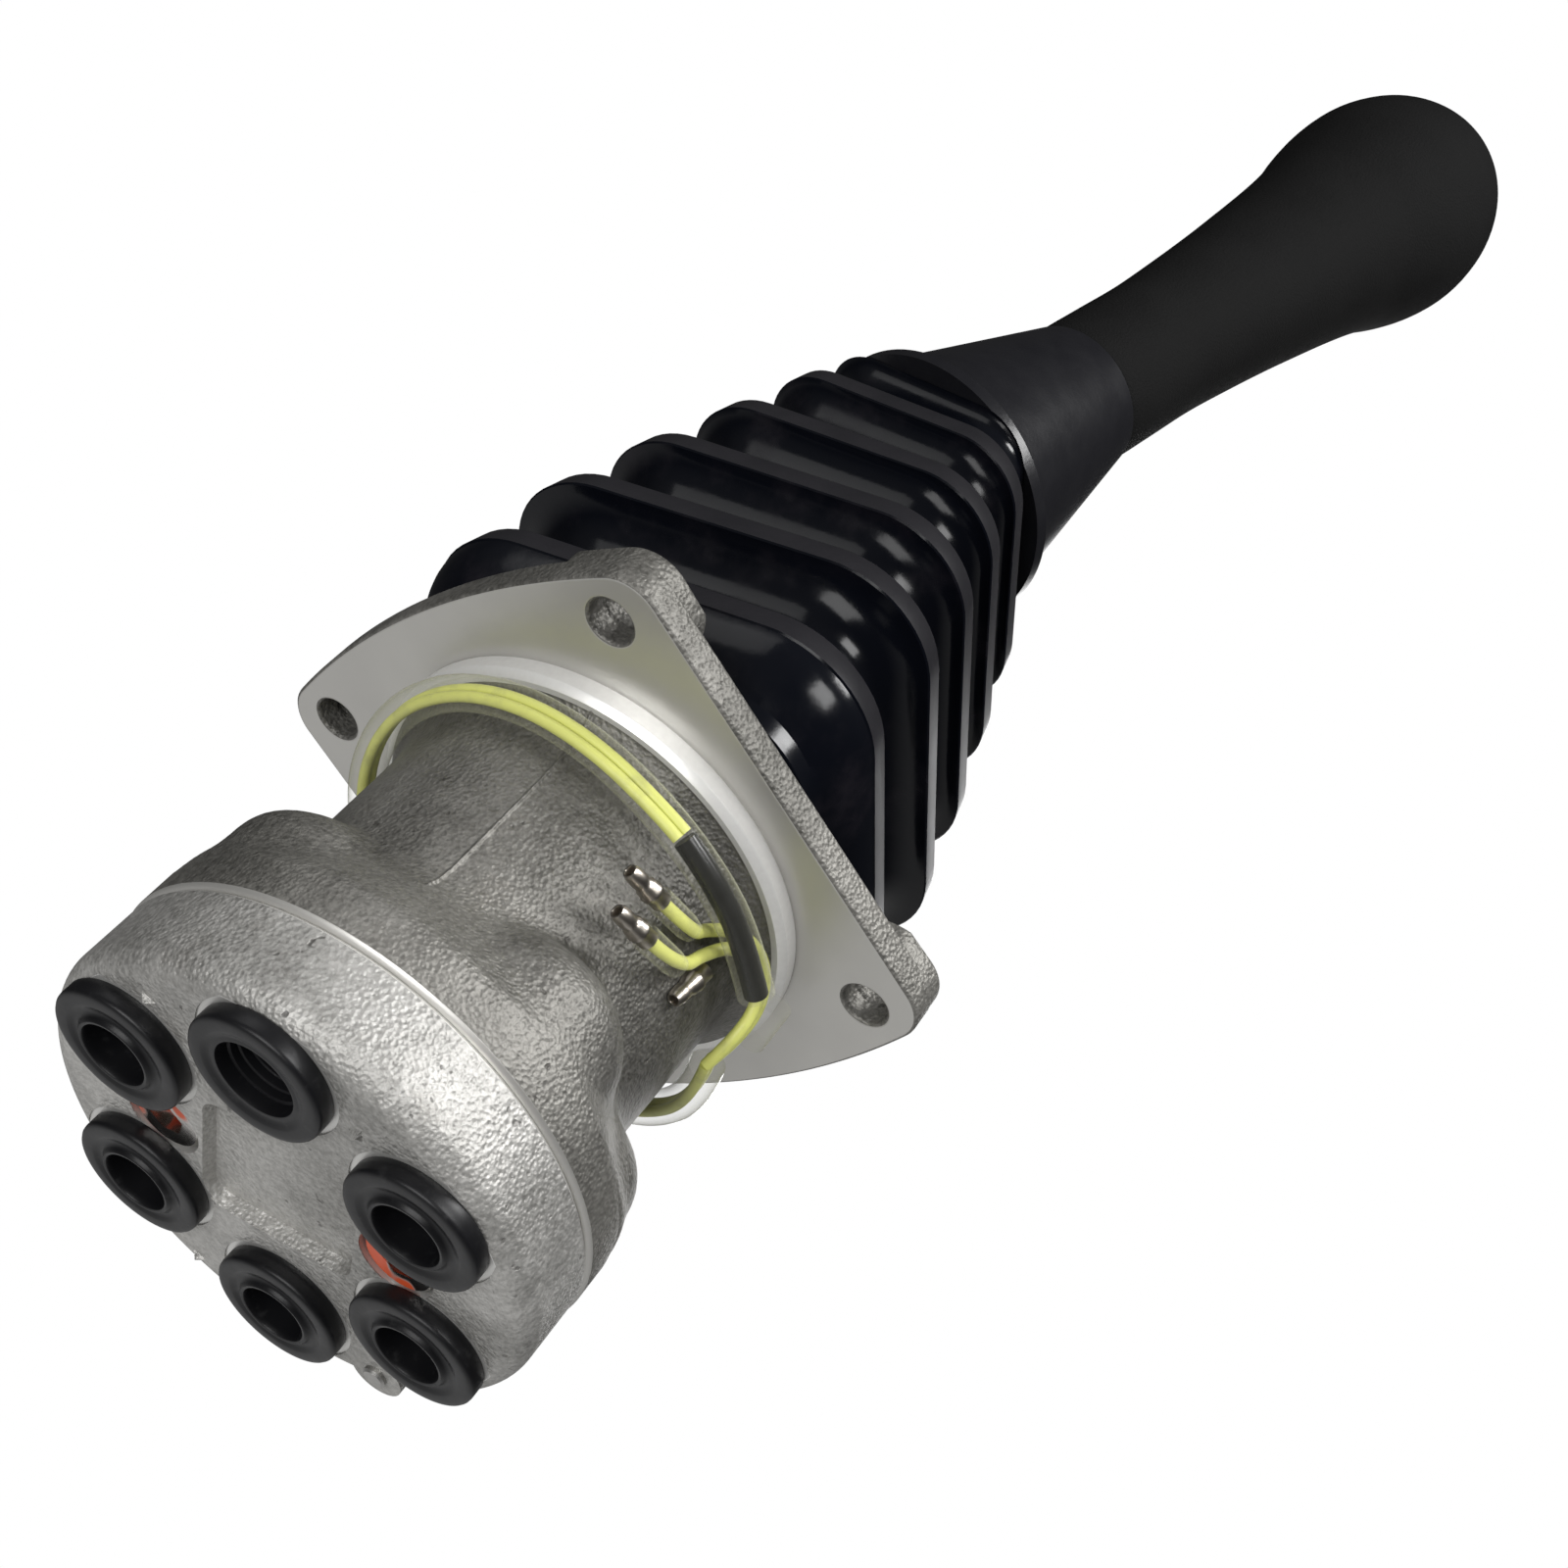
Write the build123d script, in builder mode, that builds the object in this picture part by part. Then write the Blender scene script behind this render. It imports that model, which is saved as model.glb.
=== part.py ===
from build123d import *
import math
import os

# Hydraulic pilot joystick valve. Origin: centre of the mounting plate's underside, +Z towards the grip.

# casing: mounting plate, spigot, barrel with four spring lobes, flange
bolt_pitch = 80.0
plate_flat_margin = 10.7       # from the bolt lines to the two straight sides
plate_bulge_margin = 13.5      # from the bolt lines to the middle of the two curved sides
plate_depth = bolt_pitch + 2 * plate_flat_margin
plate_bulge = bolt_pitch + 2 * plate_bulge_margin
plate_side_radius = 175.0
plate_corner_radius = 8.5
plate_thickness = 6.0
bolt_hole_diameter = 8.6
boss_diameter = 17.0
boss_rise = 2.2
spigot_radius = 42.7
spigot_height = 4.6
casing_length = 68.6           # plate underside to the joint face
barrel_radius = 35.0
barrel_flare_radius = 39.8     # where the barrel runs into the spigot
barrel_flare_height = 12.0
rib_radius = 12.8              # casting round each valve unit, full height
lobe_circle_radius = 26.0      # domed lobes round the spring chambers
lobe_radius = 16.0
lobe_shoulder = 46.0           # where the dome starts, below the plate's underside
lobe_crown = 27.0              # where the dome closes
flange_radius = 46.4
flange_height = 9.4
flange_round = 3.0
edge_break = 0.8

# valve units: push rod, guide, seat, springs and spool on one axis, four round the centre
unit_circle_radius = 24.0
guide_radius = 10.4
guide_depth = 15.0
rod_radius = 4.0
running_clearance = 0.05
fit_clearance = 0.05
chamber_radius = 9.8
chamber_depth = 52.0           # below the plate's top face
wiper_radius = 7.0
wiper_thickness = 3.5
ring_section = 1.6
rod_travel = 6.8
lift_clearance = 0.6
seat_radius = 8.4
seat_thickness = 4.0
return_spring_radius = 7.8
return_spring_wire = 1.5
metering_spring_radius = 4.9
metering_spring_wire = 1.2
spool_radius = 4.0
spool_collar_radius = 5.2
spool_collar_thickness = 2.0
spool_collar_drop = 12.0       # collar's top face below the spring seat's underside
spool_travel = 1.4
spool_stem_radius = 1.8
spool_stem_length = 9.0
spool_groove_depth = 0.8
spool_groove_width = 4.0

# port plate, its screws and plugs
port_plate_height = 16.3
port_plate_radius = 46.1
port_plate_round = 4.5
port_circle_radius = 32.2
port_radius = 8.3
port_depth = 12.0
spot_face_radius = 13.0
spot_face_depth = 0.3
port_angles = (167.5, 102.5, -12.5, -77.5, 45.0)
open_port_angle = 225.0
passage_radius = 2.5
passage_circle_radius = 28.6
passage_lead = 8.0             # degrees from the valve unit towards its port
seal_radius = 4.4
seal_width = 1.5
seal_depth = 1.2
screw_circle_radius = 22.5
screw_angles = (135.0, -45.0)
screw_radius = 4.0
screw_head_radius = 6.5
screw_head_height = 8.0
counterbore_radius = 7.0
counterbore_depth = 8.6
screw_grip = 14.0              # thread length in the casing
hex_key = 6.0
hex_key_depth = 4.0
pocket_half_x = 19.0
pocket_half_y = 23.0
pocket_depth = 2.6
lug_radius = 5.0
lug_circle_radius = 42.7
lug_angle = 20.0
lug_pin_radius = 2.2
lug_pin_rise = 1.0
plug_flange_radius = 12.0
plug_flange_thickness = 3.5
plug_stem_length = 8.0
plug_recess_radius = 5.86
plug_recess_depth = 9.0
plug_rim_radius = 7.6
plug_rim_rise = 0.5
open_plug_bore_radius = 6.9

# universal joint, swash plate and nuts
retaining_plate_radius = 37.0
retaining_plate_thickness = 3.0
pivot_height = 21.0
stud_radius = 7.0
joint_stud_depth = 16.0
joint_flange_across = 20.0
joint_flange_thickness = 3.2
fork_inner = 7.0
fork_outer = 10.5
fork_half_width = 4.5
cross_half_width = 5.6
cross_pin_radius = 2.8
yoke_head_rise = 9.0           # yoke head's underside above the pivot
yoke_head_thickness = 4.0
yoke_head_radius = 11.0
yoke_stud_length = 26.0
swash_rise = 3.0               # swash plate's rim underside above the pivot
swash_radius = 30.0
swash_rim_thickness = 5.0
swash_rim_inner = 18.0
swash_hub_radius = 14.0
swash_hub_thickness = 5.0
rod_play = 0.5                 # rod tip to swash plate at rest
nut_across = 22.0
nut_thickness = 7.0
bar_radius = 7.0
bar_bore_radius = 3.0
bar_foot_radius = 10.5
bar_foot_length = 22.0

# handle: the bar bends at the handle's bend point and carries neck and grip on the leaning axis
bend_height = 138.0
lean_angle = 12.1
lean_azimuth = -42.0
bend_radius = 45.0
neck_base = -7.3               # along the leaning axis from the bend point
neck_top = 46.5
neck_base_radius = 31.0
neck_lip = 3.0
neck_top_radius = 17.9
neck_wall = 2.6
grip_gap = 0.6
grip_neck_radius = 17.2
grip_bulb_radius = 29.4
grip_bulb_centre = 185.0
grip_straight = 28.0           # parallel length above the neck
grip_waist_drop = 55.0         # from the bulb's centre down to the waist
grip_shoulder_drop = 27.0      # from the bulb's centre down to its shoulder
grip_crown_rise = 18.0
grip_length = 175.0
grip_lip = 1.0
grip_core_radius = 10.5
switch_body_radius = 12.0
switch_body_length = 22.0
switch_wall = 2.0
button_radius = 8.5
button_length = 9.0
button_travel = 2.0
button_rise = 3.2
button_dome = 1.5
switch_spring_radius = 4.5

# boot
boot_wall = 2.2
boot_turn = 35.0               # the boot's flats are turned from the plate's
boot_roundness = 0.45          # corner radius as a share of the half width
boot_base_half = 41.5
boot_foot = 4.0
boot_top_half = 26.5
fold_shares = (0.1485, 0.3330, 0.5175, 0.6980, 0.8705)  # of the height from plate to neck
fold_half_widths = (45.6, 44.2, 40.2, 35.6, 31.2)
fold_tilts = (0.0, 0.0, 2.0, 5.0, 9.0)
valley_half_widths = (36.5, 34.0, 30.4, 26.6, 24.6)
band_height = 5.6
band_taper = 0.8
valley_share = 0.068           # from a fold's upper edge to the valley, of the same height
neck_clearance = 0.3

# harness wound round the barrel
sleeve_radius = 3.25
sleeve_wall = 0.55
core_radius = 2.1
wire_radius = 1.15
connector_radius = 2.0
connector_length = 9.0
insulator_radius = 2.3
insulator_length = 9.0
outlet_radius = 3.0
outlet_length = 9.0
outlet_angle = -37.0
# the sleeve's route: angle round the axis, distance from it, distance below the plate
sleeve_angles = (-57, -73, -89, -107, -127, -148, -170, 167, 143, 119, 95, 71, 47, 23, -1, -20, -34)
sleeve_reaches = (44.0, 43.8, 43.4, 42.6, 42.0, 41.9, 41.9, 42.0, 42.0, 42.0, 41.9, 42.0, 42.0,
                  41.9, 41.9, 41.4, 39.6)
sleeve_drops = (15.6, 15.2, 14.8, 13.6, 11.6, 9.9, 9.0, 9.4, 10.6, 12.2, 14.0, 15.8, 17.6,
                19.4, 20.8, 21.6, 21.2)
cable_end_angle = -98.5
wires_end_angle = -99.5
core_reach = 43.0
core_drop = 14.2
# the bare pair's route, and how far each wire lies from its middle
pair_angles = (-34.6, -42, -46.5, -57, -67, -73.5, -78.5)
pair_reaches = (39.6, 41.8, 42.2, 41.0, 38.8, 37.8, 40.6)
pair_drops = (21.2, 17.5, 10.8, 8.9, 11.4, 18.0, 25.2)
pair_spreads = (1.25, 1.25, 1.25, 1.25, 1.35, 2.0, 2.9)
strand_end_reach = 40.7
lower_end_drop = 27.5
upper_end_drop = 21.6
tip_reach = 42.7
lower_tip_drop = 32.5
upper_tip_drop = 25.8
cable_bullet_reach = 37.1
cable_start_drop = 19.2
cable_tip_drop = 32.0
link_gap = 0.6

os.makedirs("parts", exist_ok=True)

joint_face = -casing_length
flange_top = joint_face + flange_height
port_face = joint_face - port_plate_height
plate_top = plate_thickness
guide_bottom = plate_top - guide_depth
chamber_bottom = plate_top - chamber_depth
seat_top = guide_bottom - rod_travel - lift_clearance
seat_bottom = seat_top - seat_thickness
retaining_top = plate_top + retaining_plate_thickness
swash_underside = pivot_height + swash_rise
rod_tip = swash_underside - rod_play
yoke_head_bottom = pivot_height + yoke_head_rise
yoke_head_top = yoke_head_bottom + yoke_head_thickness
swash_hub_top = yoke_head_top + swash_hub_thickness
adjusting_nut_top = swash_hub_top + nut_thickness
lock_nut_top = adjusting_nut_top + nut_thickness
unit_angles = {"px": 0.0, "py": 90.0, "nx": 180.0, "ny": 270.0}

lean = math.radians(lean_angle)
turn = math.radians(lean_azimuth)
lean_direction = Vector(
    math.sin(lean) * math.cos(turn), math.sin(lean) * math.sin(turn), math.cos(lean)
)
side_direction = Vector(-math.sin(turn), math.cos(turn), 0)
bend_point = Vector(0, 0, bend_height)
handle_axis = Axis(bend_point, lean_direction)
handle_profile = Plane(
    origin=bend_point, x_dir=side_direction, z_dir=side_direction.cross(lean_direction)
)


def save(piece, label):
    piece.part.label = label
    export_step(piece.part, f"parts/{label}.step")


def handle_plane(distance):
    """Plane square to the leaning axis, at a distance along it from the bend point."""
    return Plane(origin=bend_point + lean_direction * distance, x_dir=side_direction,
                 z_dir=lean_direction)


def unit_places():
    return PolarLocations(unit_circle_radius, 4)


def ring_places(radius, angles):
    return Locations(*[(radius * math.cos(math.radians(a)), radius * math.sin(math.radians(a)))
                       for a in angles])


# casing ------------------------------------------------------------------------------------------
with BuildPart() as casing:
    with BuildSketch(Plane.XY) as plate_outline:
        Rectangle(plate_bulge + plate_depth, plate_depth)
        with Locations((plate_bulge / 2 - plate_side_radius, 0)):
            Circle(plate_side_radius, mode=Mode.INTERSECT)
        with Locations((plate_side_radius - plate_bulge / 2, 0)):
            Circle(plate_side_radius, mode=Mode.INTERSECT)
        fillet(plate_outline.vertices(), plate_corner_radius)
    extrude(amount=plate_thickness)
    with BuildSketch(Plane.XY.offset(plate_thickness)):
        with GridLocations(bolt_pitch, bolt_pitch, 2, 2):
            Circle(boss_diameter / 2)
        add(plate_outline.sketch.moved(Location((0, 0, 0))), mode=Mode.INTERSECT)
    extrude(amount=boss_rise)
    with BuildSketch(Plane.XY):
        Circle(spigot_radius)
    extrude(amount=-spigot_height)
    with BuildSketch(Plane.XZ):
        with BuildLine():
            Polyline((0, -edge_break), (barrel_flare_radius, -edge_break),
                     (barrel_flare_radius, -spigot_height))
            Spline((barrel_flare_radius, -spigot_height),
                   (barrel_radius, -spigot_height - barrel_flare_height),
                   tangents=((-1, -0.6), (0, -1)))
            Polyline((barrel_radius, -spigot_height - barrel_flare_height),
                     (barrel_radius, flange_top), (flange_radius - flange_round, flange_top))
            RadiusArc((flange_radius - flange_round, flange_top),
                      (flange_radius, flange_top - flange_round), flange_round)
            Polyline((flange_radius, flange_top - flange_round), (flange_radius, joint_face),
                     (0, joint_face), (0, -edge_break))
        make_face()
    revolve(axis=Axis.Z)
    with BuildSketch(Plane.XY):
        with unit_places():
            Circle(rib_radius)
    extrude(amount=-casing_length)
    for angle in unit_angles.values():
        lobe_plane = Plane.XZ.rotated((0, 0, angle)).offset(0)
        lobe_axis = Axis(lobe_plane.from_local_coords((lobe_circle_radius, 0)), (0, 0, 1))
        with BuildSketch(lobe_plane):
            with BuildLine():
                Polyline((lobe_circle_radius, -lobe_crown), (lobe_circle_radius, joint_face),
                         (lobe_circle_radius + lobe_radius, joint_face),
                         (lobe_circle_radius + lobe_radius, -lobe_shoulder))
                Spline((lobe_circle_radius + lobe_radius, -lobe_shoulder),
                       (lobe_circle_radius, -lobe_crown), tangents=((0, 1), (-1, 0)))
            make_face()
        revolve(axis=lobe_axis)
    with BuildSketch(Plane.XY.offset(plate_top)):
        with unit_places():
            Circle(guide_radius + fit_clearance)
    extrude(amount=-guide_depth, mode=Mode.SUBTRACT)
    with BuildSketch(Plane.XY.offset(plate_top)):
        with unit_places():
            Circle(chamber_radius)
    extrude(amount=-chamber_depth, mode=Mode.SUBTRACT)
    with BuildSketch(Plane.XY.offset(plate_top)):
        with unit_places():
            Circle(spool_radius + running_clearance)
    extrude(amount=-(plate_top + casing_length), mode=Mode.SUBTRACT)
    with BuildSketch(Plane.XY.offset(plate_top)):
        Circle(stud_radius + fit_clearance)
    extrude(amount=-joint_stud_depth, mode=Mode.SUBTRACT)
    with BuildSketch(Plane.XY):
        with GridLocations(bolt_pitch, bolt_pitch, 2, 2):
            Circle(bolt_hole_diameter / 2)
    extrude(amount=plate_thickness + boss_rise, mode=Mode.SUBTRACT)
    with BuildSketch(Plane.XY.offset(joint_face)):
        with ring_places(screw_circle_radius, screw_angles):
            Circle(screw_radius + fit_clearance)
    extrude(amount=screw_grip + 1, mode=Mode.SUBTRACT)
    chamfer(
        casing.edges().filter_by(GeomType.CIRCLE).filter_by_position(
            Axis.Z, joint_face - 0.01, joint_face + 0.01).sort_by(SortBy.RADIUS)[-1],
        edge_break)
    chamfer(
        casing.edges().filter_by(GeomType.CIRCLE).filter_by_position(
            Axis.Z, -spigot_height - 0.01, -spigot_height + 0.01).sort_by(SortBy.RADIUS)[-1],
        edge_break)
save(casing, "casing")

# port plate --------------------------------------------------------------------------------------
all_port_angles = port_angles + (open_port_angle,)
with BuildPart() as port_plate:
    with BuildSketch(Plane.XY.offset(joint_face)):
        Circle(port_plate_radius)
    extrude(amount=-port_plate_height)
    fillet(port_plate.faces().sort_by(Axis.Z)[0].edges(), port_plate_round)
    chamfer(port_plate.faces().sort_by(Axis.Z)[-1].edges(), edge_break)
    with BuildSketch(Plane.XY.offset(port_face)):
        with ring_places(lug_circle_radius, (lug_angle,)):
            Circle(lug_radius)
    extrude(amount=port_plate_height - edge_break)
    with BuildSketch(Plane.XY.offset(port_face)) as pocket:
        Polygon((pocket_half_x, 0), (0, pocket_half_y), (-pocket_half_x, 0), (0, -pocket_half_y))
        fillet(pocket.vertices(), 4)
    extrude(amount=pocket_depth, taper=12, mode=Mode.SUBTRACT)
    with BuildSketch(Plane.XY.offset(port_face)):
        with ring_places(port_circle_radius, all_port_angles):
            Circle(spot_face_radius)
    extrude(amount=spot_face_depth, mode=Mode.SUBTRACT)
    with BuildSketch(Plane.XY.offset(port_face)):
        with ring_places(port_circle_radius, all_port_angles):
            Circle(port_radius)
    extrude(amount=port_depth, mode=Mode.SUBTRACT)
    with BuildSketch(Plane.XY.offset(port_face)):
        with ring_places(screw_circle_radius, screw_angles):
            Circle(counterbore_radius)
    extrude(amount=counterbore_depth, mode=Mode.SUBTRACT)
    with BuildSketch(Plane.XY.offset(port_face)):
        with ring_places(screw_circle_radius, screw_angles):
            Circle(screw_radius + fit_clearance)
    extrude(amount=port_plate_height, mode=Mode.SUBTRACT)
    with BuildSketch(Plane.XY.offset(joint_face)):
        with ring_places(passage_circle_radius, (180 - passage_lead, 90 + passage_lead,
                                                 -passage_lead, -90 + passage_lead)):
            Circle(passage_radius)
    extrude(amount=-port_plate_height / 2, mode=Mode.SUBTRACT)
    with BuildSketch(Plane.XY.offset(joint_face)):
        with unit_places():
            Circle(seal_radius + seal_width)
    extrude(amount=-seal_depth, mode=Mode.SUBTRACT)
    with BuildSketch(Plane.XY.offset(joint_face)):
        with unit_places():
            Circle(seal_radius)
    extrude(amount=-(spool_travel + 2 * seal_depth), mode=Mode.SUBTRACT)
    with BuildSketch(Plane.XY.offset(port_face)):
        with ring_places(lug_circle_radius, (lug_angle,)):
            Circle(lug_pin_radius)
    extrude(amount=port_plate_height / 2, mode=Mode.SUBTRACT)
save(port_plate, "port_plate")

with BuildPart() as port_seals:
    with BuildSketch(Plane.XY.offset(joint_face)):
        with unit_places():
            Circle(seal_radius + seal_width)
        with unit_places():
            Circle(seal_radius, mode=Mode.SUBTRACT)
    extrude(amount=-seal_depth)
save(port_seals, "port_seals")

with BuildPart() as lug_pin:
    with BuildSketch(Plane.XY.offset(port_face - lug_pin_rise)):
        with ring_places(lug_circle_radius, (lug_angle,)):
            Circle(lug_pin_radius)
    extrude(amount=port_plate_height / 2 + lug_pin_rise)
    chamfer(lug_pin.faces().sort_by(Axis.Z)[0].edges(), 0.4)
save(lug_pin, "lug_pin")

head_seat = port_face + counterbore_depth
with BuildPart() as port_plate_screws:
    with BuildSketch(Plane.XY.offset(head_seat)):
        with ring_places(screw_circle_radius, screw_angles):
            Circle(screw_head_radius)
    extrude(amount=-screw_head_height)
    chamfer(port_plate_screws.faces().filter_by(Plane.XY).group_by(Axis.Z)[0].edges(), 0.5)
    with BuildSketch(Plane.XY.offset(head_seat)):
        with ring_places(screw_circle_radius, screw_angles):
            Circle(screw_radius)
    extrude(amount=joint_face + screw_grip - head_seat)
    with BuildSketch(Plane.XY.offset(head_seat - screw_head_height)):
        with ring_places(screw_circle_radius, screw_angles):
            RegularPolygon(hex_key / 2, 6, major_radius=False)
    extrude(amount=hex_key_depth, mode=Mode.SUBTRACT)
save(port_plate_screws, "port_plate_screws")

plug_seat = port_face + spot_face_depth
plug_face = plug_seat - plug_flange_thickness


def build_plugs(angles, bore_radius, rim_radius):
    with BuildPart() as plugs:
        with BuildSketch(Plane.XY.offset(plug_seat)):
            with ring_places(port_circle_radius, angles):
                Circle(plug_flange_radius)
        extrude(amount=-plug_flange_thickness)
        chamfer(plugs.faces().filter_by(Plane.XY).group_by(Axis.Z)[0].edges(), edge_break)
        with BuildSketch(Plane.XY.offset(plug_seat)):
            with ring_places(port_circle_radius, angles):
                Circle(port_radius - fit_clearance)
        extrude(amount=plug_stem_length)
        if rim_radius > bore_radius:
            with BuildSketch(Plane.XY.offset(plug_face)):
                with ring_places(port_circle_radius, angles):
                    Circle(rim_radius)
            extrude(amount=-plug_rim_rise)
        with BuildSketch(Plane.XY.offset(plug_face - plug_rim_rise)):
            with ring_places(port_circle_radius, angles):
                Circle(bore_radius)
        extrude(amount=plug_recess_depth, mode=Mode.SUBTRACT)
    return plugs


save(build_plugs(port_angles, plug_recess_radius, plug_rim_radius), "port_plugs")
save(build_plugs((open_port_angle,), open_plug_bore_radius, 0), "open_plug")

# rod guides, their rings, wipers and the plate that keeps them in --------------------------------
ring_groove_top = plate_top - wiper_thickness - 3.0
with BuildPart() as rod_guides:
    with BuildSketch(Plane.XY.offset(plate_top)):
        with unit_places():
            Circle(guide_radius)
    extrude(amount=-guide_depth)
    with BuildSketch(Plane.XY.offset(ring_groove_top)):
        with unit_places():
            Circle(guide_radius)
        with unit_places():
            Circle(guide_radius - ring_section, mode=Mode.SUBTRACT)
    extrude(amount=-ring_section, mode=Mode.SUBTRACT)
    with BuildSketch(Plane.XY.offset(plate_top)):
        with unit_places():
            Circle(rod_radius + running_clearance)
    extrude(amount=-guide_depth, mode=Mode.SUBTRACT)
    with BuildSketch(Plane.XY.offset(plate_top)):
        with unit_places():
            Circle(wiper_radius)
    extrude(amount=-wiper_thickness, mode=Mode.SUBTRACT)
save(rod_guides, "rod_guides")

with BuildPart() as guide_rings:
    with BuildSketch(Plane.XY.offset(ring_groove_top)):
        with unit_places():
            Circle(guide_radius)
        with unit_places():
            Circle(guide_radius - ring_section, mode=Mode.SUBTRACT)
    extrude(amount=-ring_section)
save(guide_rings, "guide_rings")

with BuildPart() as wiper_seals:
    with BuildSketch(Plane.XY.offset(plate_top)):
        with unit_places():
            Circle(wiper_radius)
        with unit_places():
            Circle(rod_radius + running_clearance, mode=Mode.SUBTRACT)
    extrude(amount=-wiper_thickness)
save(wiper_seals, "wiper_seals")

with BuildPart() as retaining_plate:
    with BuildSketch(Plane.XY.offset(plate_top)):
        Circle(retaining_plate_radius)
        Circle(stud_radius + fit_clearance, mode=Mode.SUBTRACT)
        with unit_places():
            Circle(rod_radius + 1.5, mode=Mode.SUBTRACT)
    extrude(amount=retaining_plate_thickness)
    chamfer(retaining_plate.faces().sort_by(Axis.Z)[-1].outer_wire().edges(), edge_break)
save(retaining_plate, "retaining_plate")


# valve units -------------------------------------------------------------------------------------
def revolve_unit(angle, points):
    """A turned piece on a valve unit's axis, from (radius, height) points."""
    x = unit_circle_radius * math.cos(math.radians(angle))
    y = unit_circle_radius * math.sin(math.radians(angle))
    with BuildPart() as turned:
        with BuildSketch(Plane(origin=(x, y, 0), x_dir=(1, 0, 0), z_dir=(0, -1, 0))):
            Polygon(*points, align=None)
        revolve(axis=Axis((x, y, 0), (0, 0, 1)))
    return turned


def push_rod_for(angle):
    x = unit_circle_radius * math.cos(math.radians(angle))
    y = unit_circle_radius * math.sin(math.radians(angle))
    with BuildPart() as rod:
        with BuildSketch(Plane.XY.offset(seat_top)):
            with Locations((x, y)):
                Circle(rod_radius)
        extrude(amount=rod_tip - rod_radius - seat_top)
        with Locations((x, y, rod_tip - rod_radius)):
            Sphere(rod_radius)
    return rod


collar_top = seat_bottom - spool_collar_drop
collar_bottom = collar_top - spool_collar_thickness
spool_end = joint_face + spool_travel
groove = spool_radius - spool_groove_depth
spool_profile = [(0, spool_end), (spool_radius, spool_end)]
for step in (1, 3):
    low = spool_end + step * spool_groove_width
    spool_profile += [(spool_radius, low), (groove, low),
                      (groove, low + spool_groove_width), (spool_radius, low + spool_groove_width)]
spool_profile += [
    (spool_radius, collar_bottom), (spool_collar_radius, collar_bottom),
    (spool_collar_radius, collar_top), (spool_stem_radius, collar_top),
    (spool_stem_radius, collar_bottom + spool_stem_length - spool_collar_thickness),
    (0, collar_bottom + spool_stem_length - spool_collar_thickness),
]
seat_profile = [
    (0, seat_top), (seat_radius, seat_top), (seat_radius, seat_bottom),
    (return_spring_radius - return_spring_wire - 0.3, seat_bottom),
    (return_spring_radius - return_spring_wire - 0.3, seat_bottom - 1.5),
    (metering_spring_radius + 0.3, seat_bottom - 1.5),
    (metering_spring_radius + 0.3, seat_bottom), (0, seat_bottom),
]
return_spring_profile = [
    (return_spring_radius - return_spring_wire, seat_bottom),
    (return_spring_radius, seat_bottom),
    (return_spring_radius, chamber_bottom),
    (return_spring_radius - return_spring_wire, chamber_bottom),
]
metering_spring_profile = [
    (metering_spring_radius - metering_spring_wire, seat_bottom),
    (metering_spring_radius, seat_bottom),
    (metering_spring_radius, collar_top),
    (metering_spring_radius - metering_spring_wire, collar_top),
]
for unit, unit_angle in unit_angles.items():
    save(push_rod_for(unit_angle), f"push_rod_{unit}")
    save(revolve_unit(unit_angle, seat_profile), f"spring_seat_{unit}")
    save(revolve_unit(unit_angle, return_spring_profile), f"return_spring_{unit}")
    save(revolve_unit(unit_angle, metering_spring_profile), f"metering_spring_{unit}")
    save(revolve_unit(unit_angle, spool_profile), f"spool_{unit}")

# universal joint ---------------------------------------------------------------------------------
fork_gap = fork_outer + fork_inner
with BuildPart() as joint_base:
    with BuildSketch(Plane.XY.offset(retaining_top)):
        Circle(stud_radius)
    extrude(amount=-(joint_stud_depth + retaining_plate_thickness - 1))
    with BuildSketch(Plane.XY.offset(retaining_top)):
        RegularPolygon(joint_flange_across / 2, 6, major_radius=False)
    extrude(amount=joint_flange_thickness)
    with BuildSketch(Plane.XY.offset(retaining_top)):
        with Locations((fork_gap / 2, 0), (-fork_gap / 2, 0)):
            Rectangle(fork_outer - fork_inner, 2 * fork_half_width)
    extrude(amount=pivot_height - retaining_top)
    with BuildSketch(Plane.YZ.offset(-fork_outer)):
        with Locations((0, pivot_height)):
            Circle(fork_half_width)
    extrude(amount=2 * fork_outer)
    with BuildSketch(Plane.YZ.offset(-fork_inner)):
        with Locations((0, pivot_height)):
            Rectangle(2 * fork_outer, 2 * fork_half_width + 2)
    extrude(amount=2 * fork_inner, mode=Mode.SUBTRACT)
    with BuildSketch(Plane.YZ.offset(-fork_outer)):
        with Locations((0, pivot_height)):
            Circle(cross_pin_radius + running_clearance)
    extrude(amount=2 * fork_outer, mode=Mode.SUBTRACT)
save(joint_base, "joint_base")

with BuildPart() as joint_cross:
    with Locations((0, 0, pivot_height)):
        Box(2 * cross_half_width, 2 * cross_half_width, 2 * fork_half_width)
    with BuildSketch(Plane.YZ.offset(-fork_outer)):
        with Locations((0, pivot_height)):
            Circle(cross_pin_radius)
    extrude(amount=2 * fork_outer)
    with BuildSketch(Plane.XZ.offset(-fork_outer)):
        with Locations((0, pivot_height)):
            Circle(cross_pin_radius)
    extrude(amount=2 * fork_outer)
save(joint_cross, "joint_cross")

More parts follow.
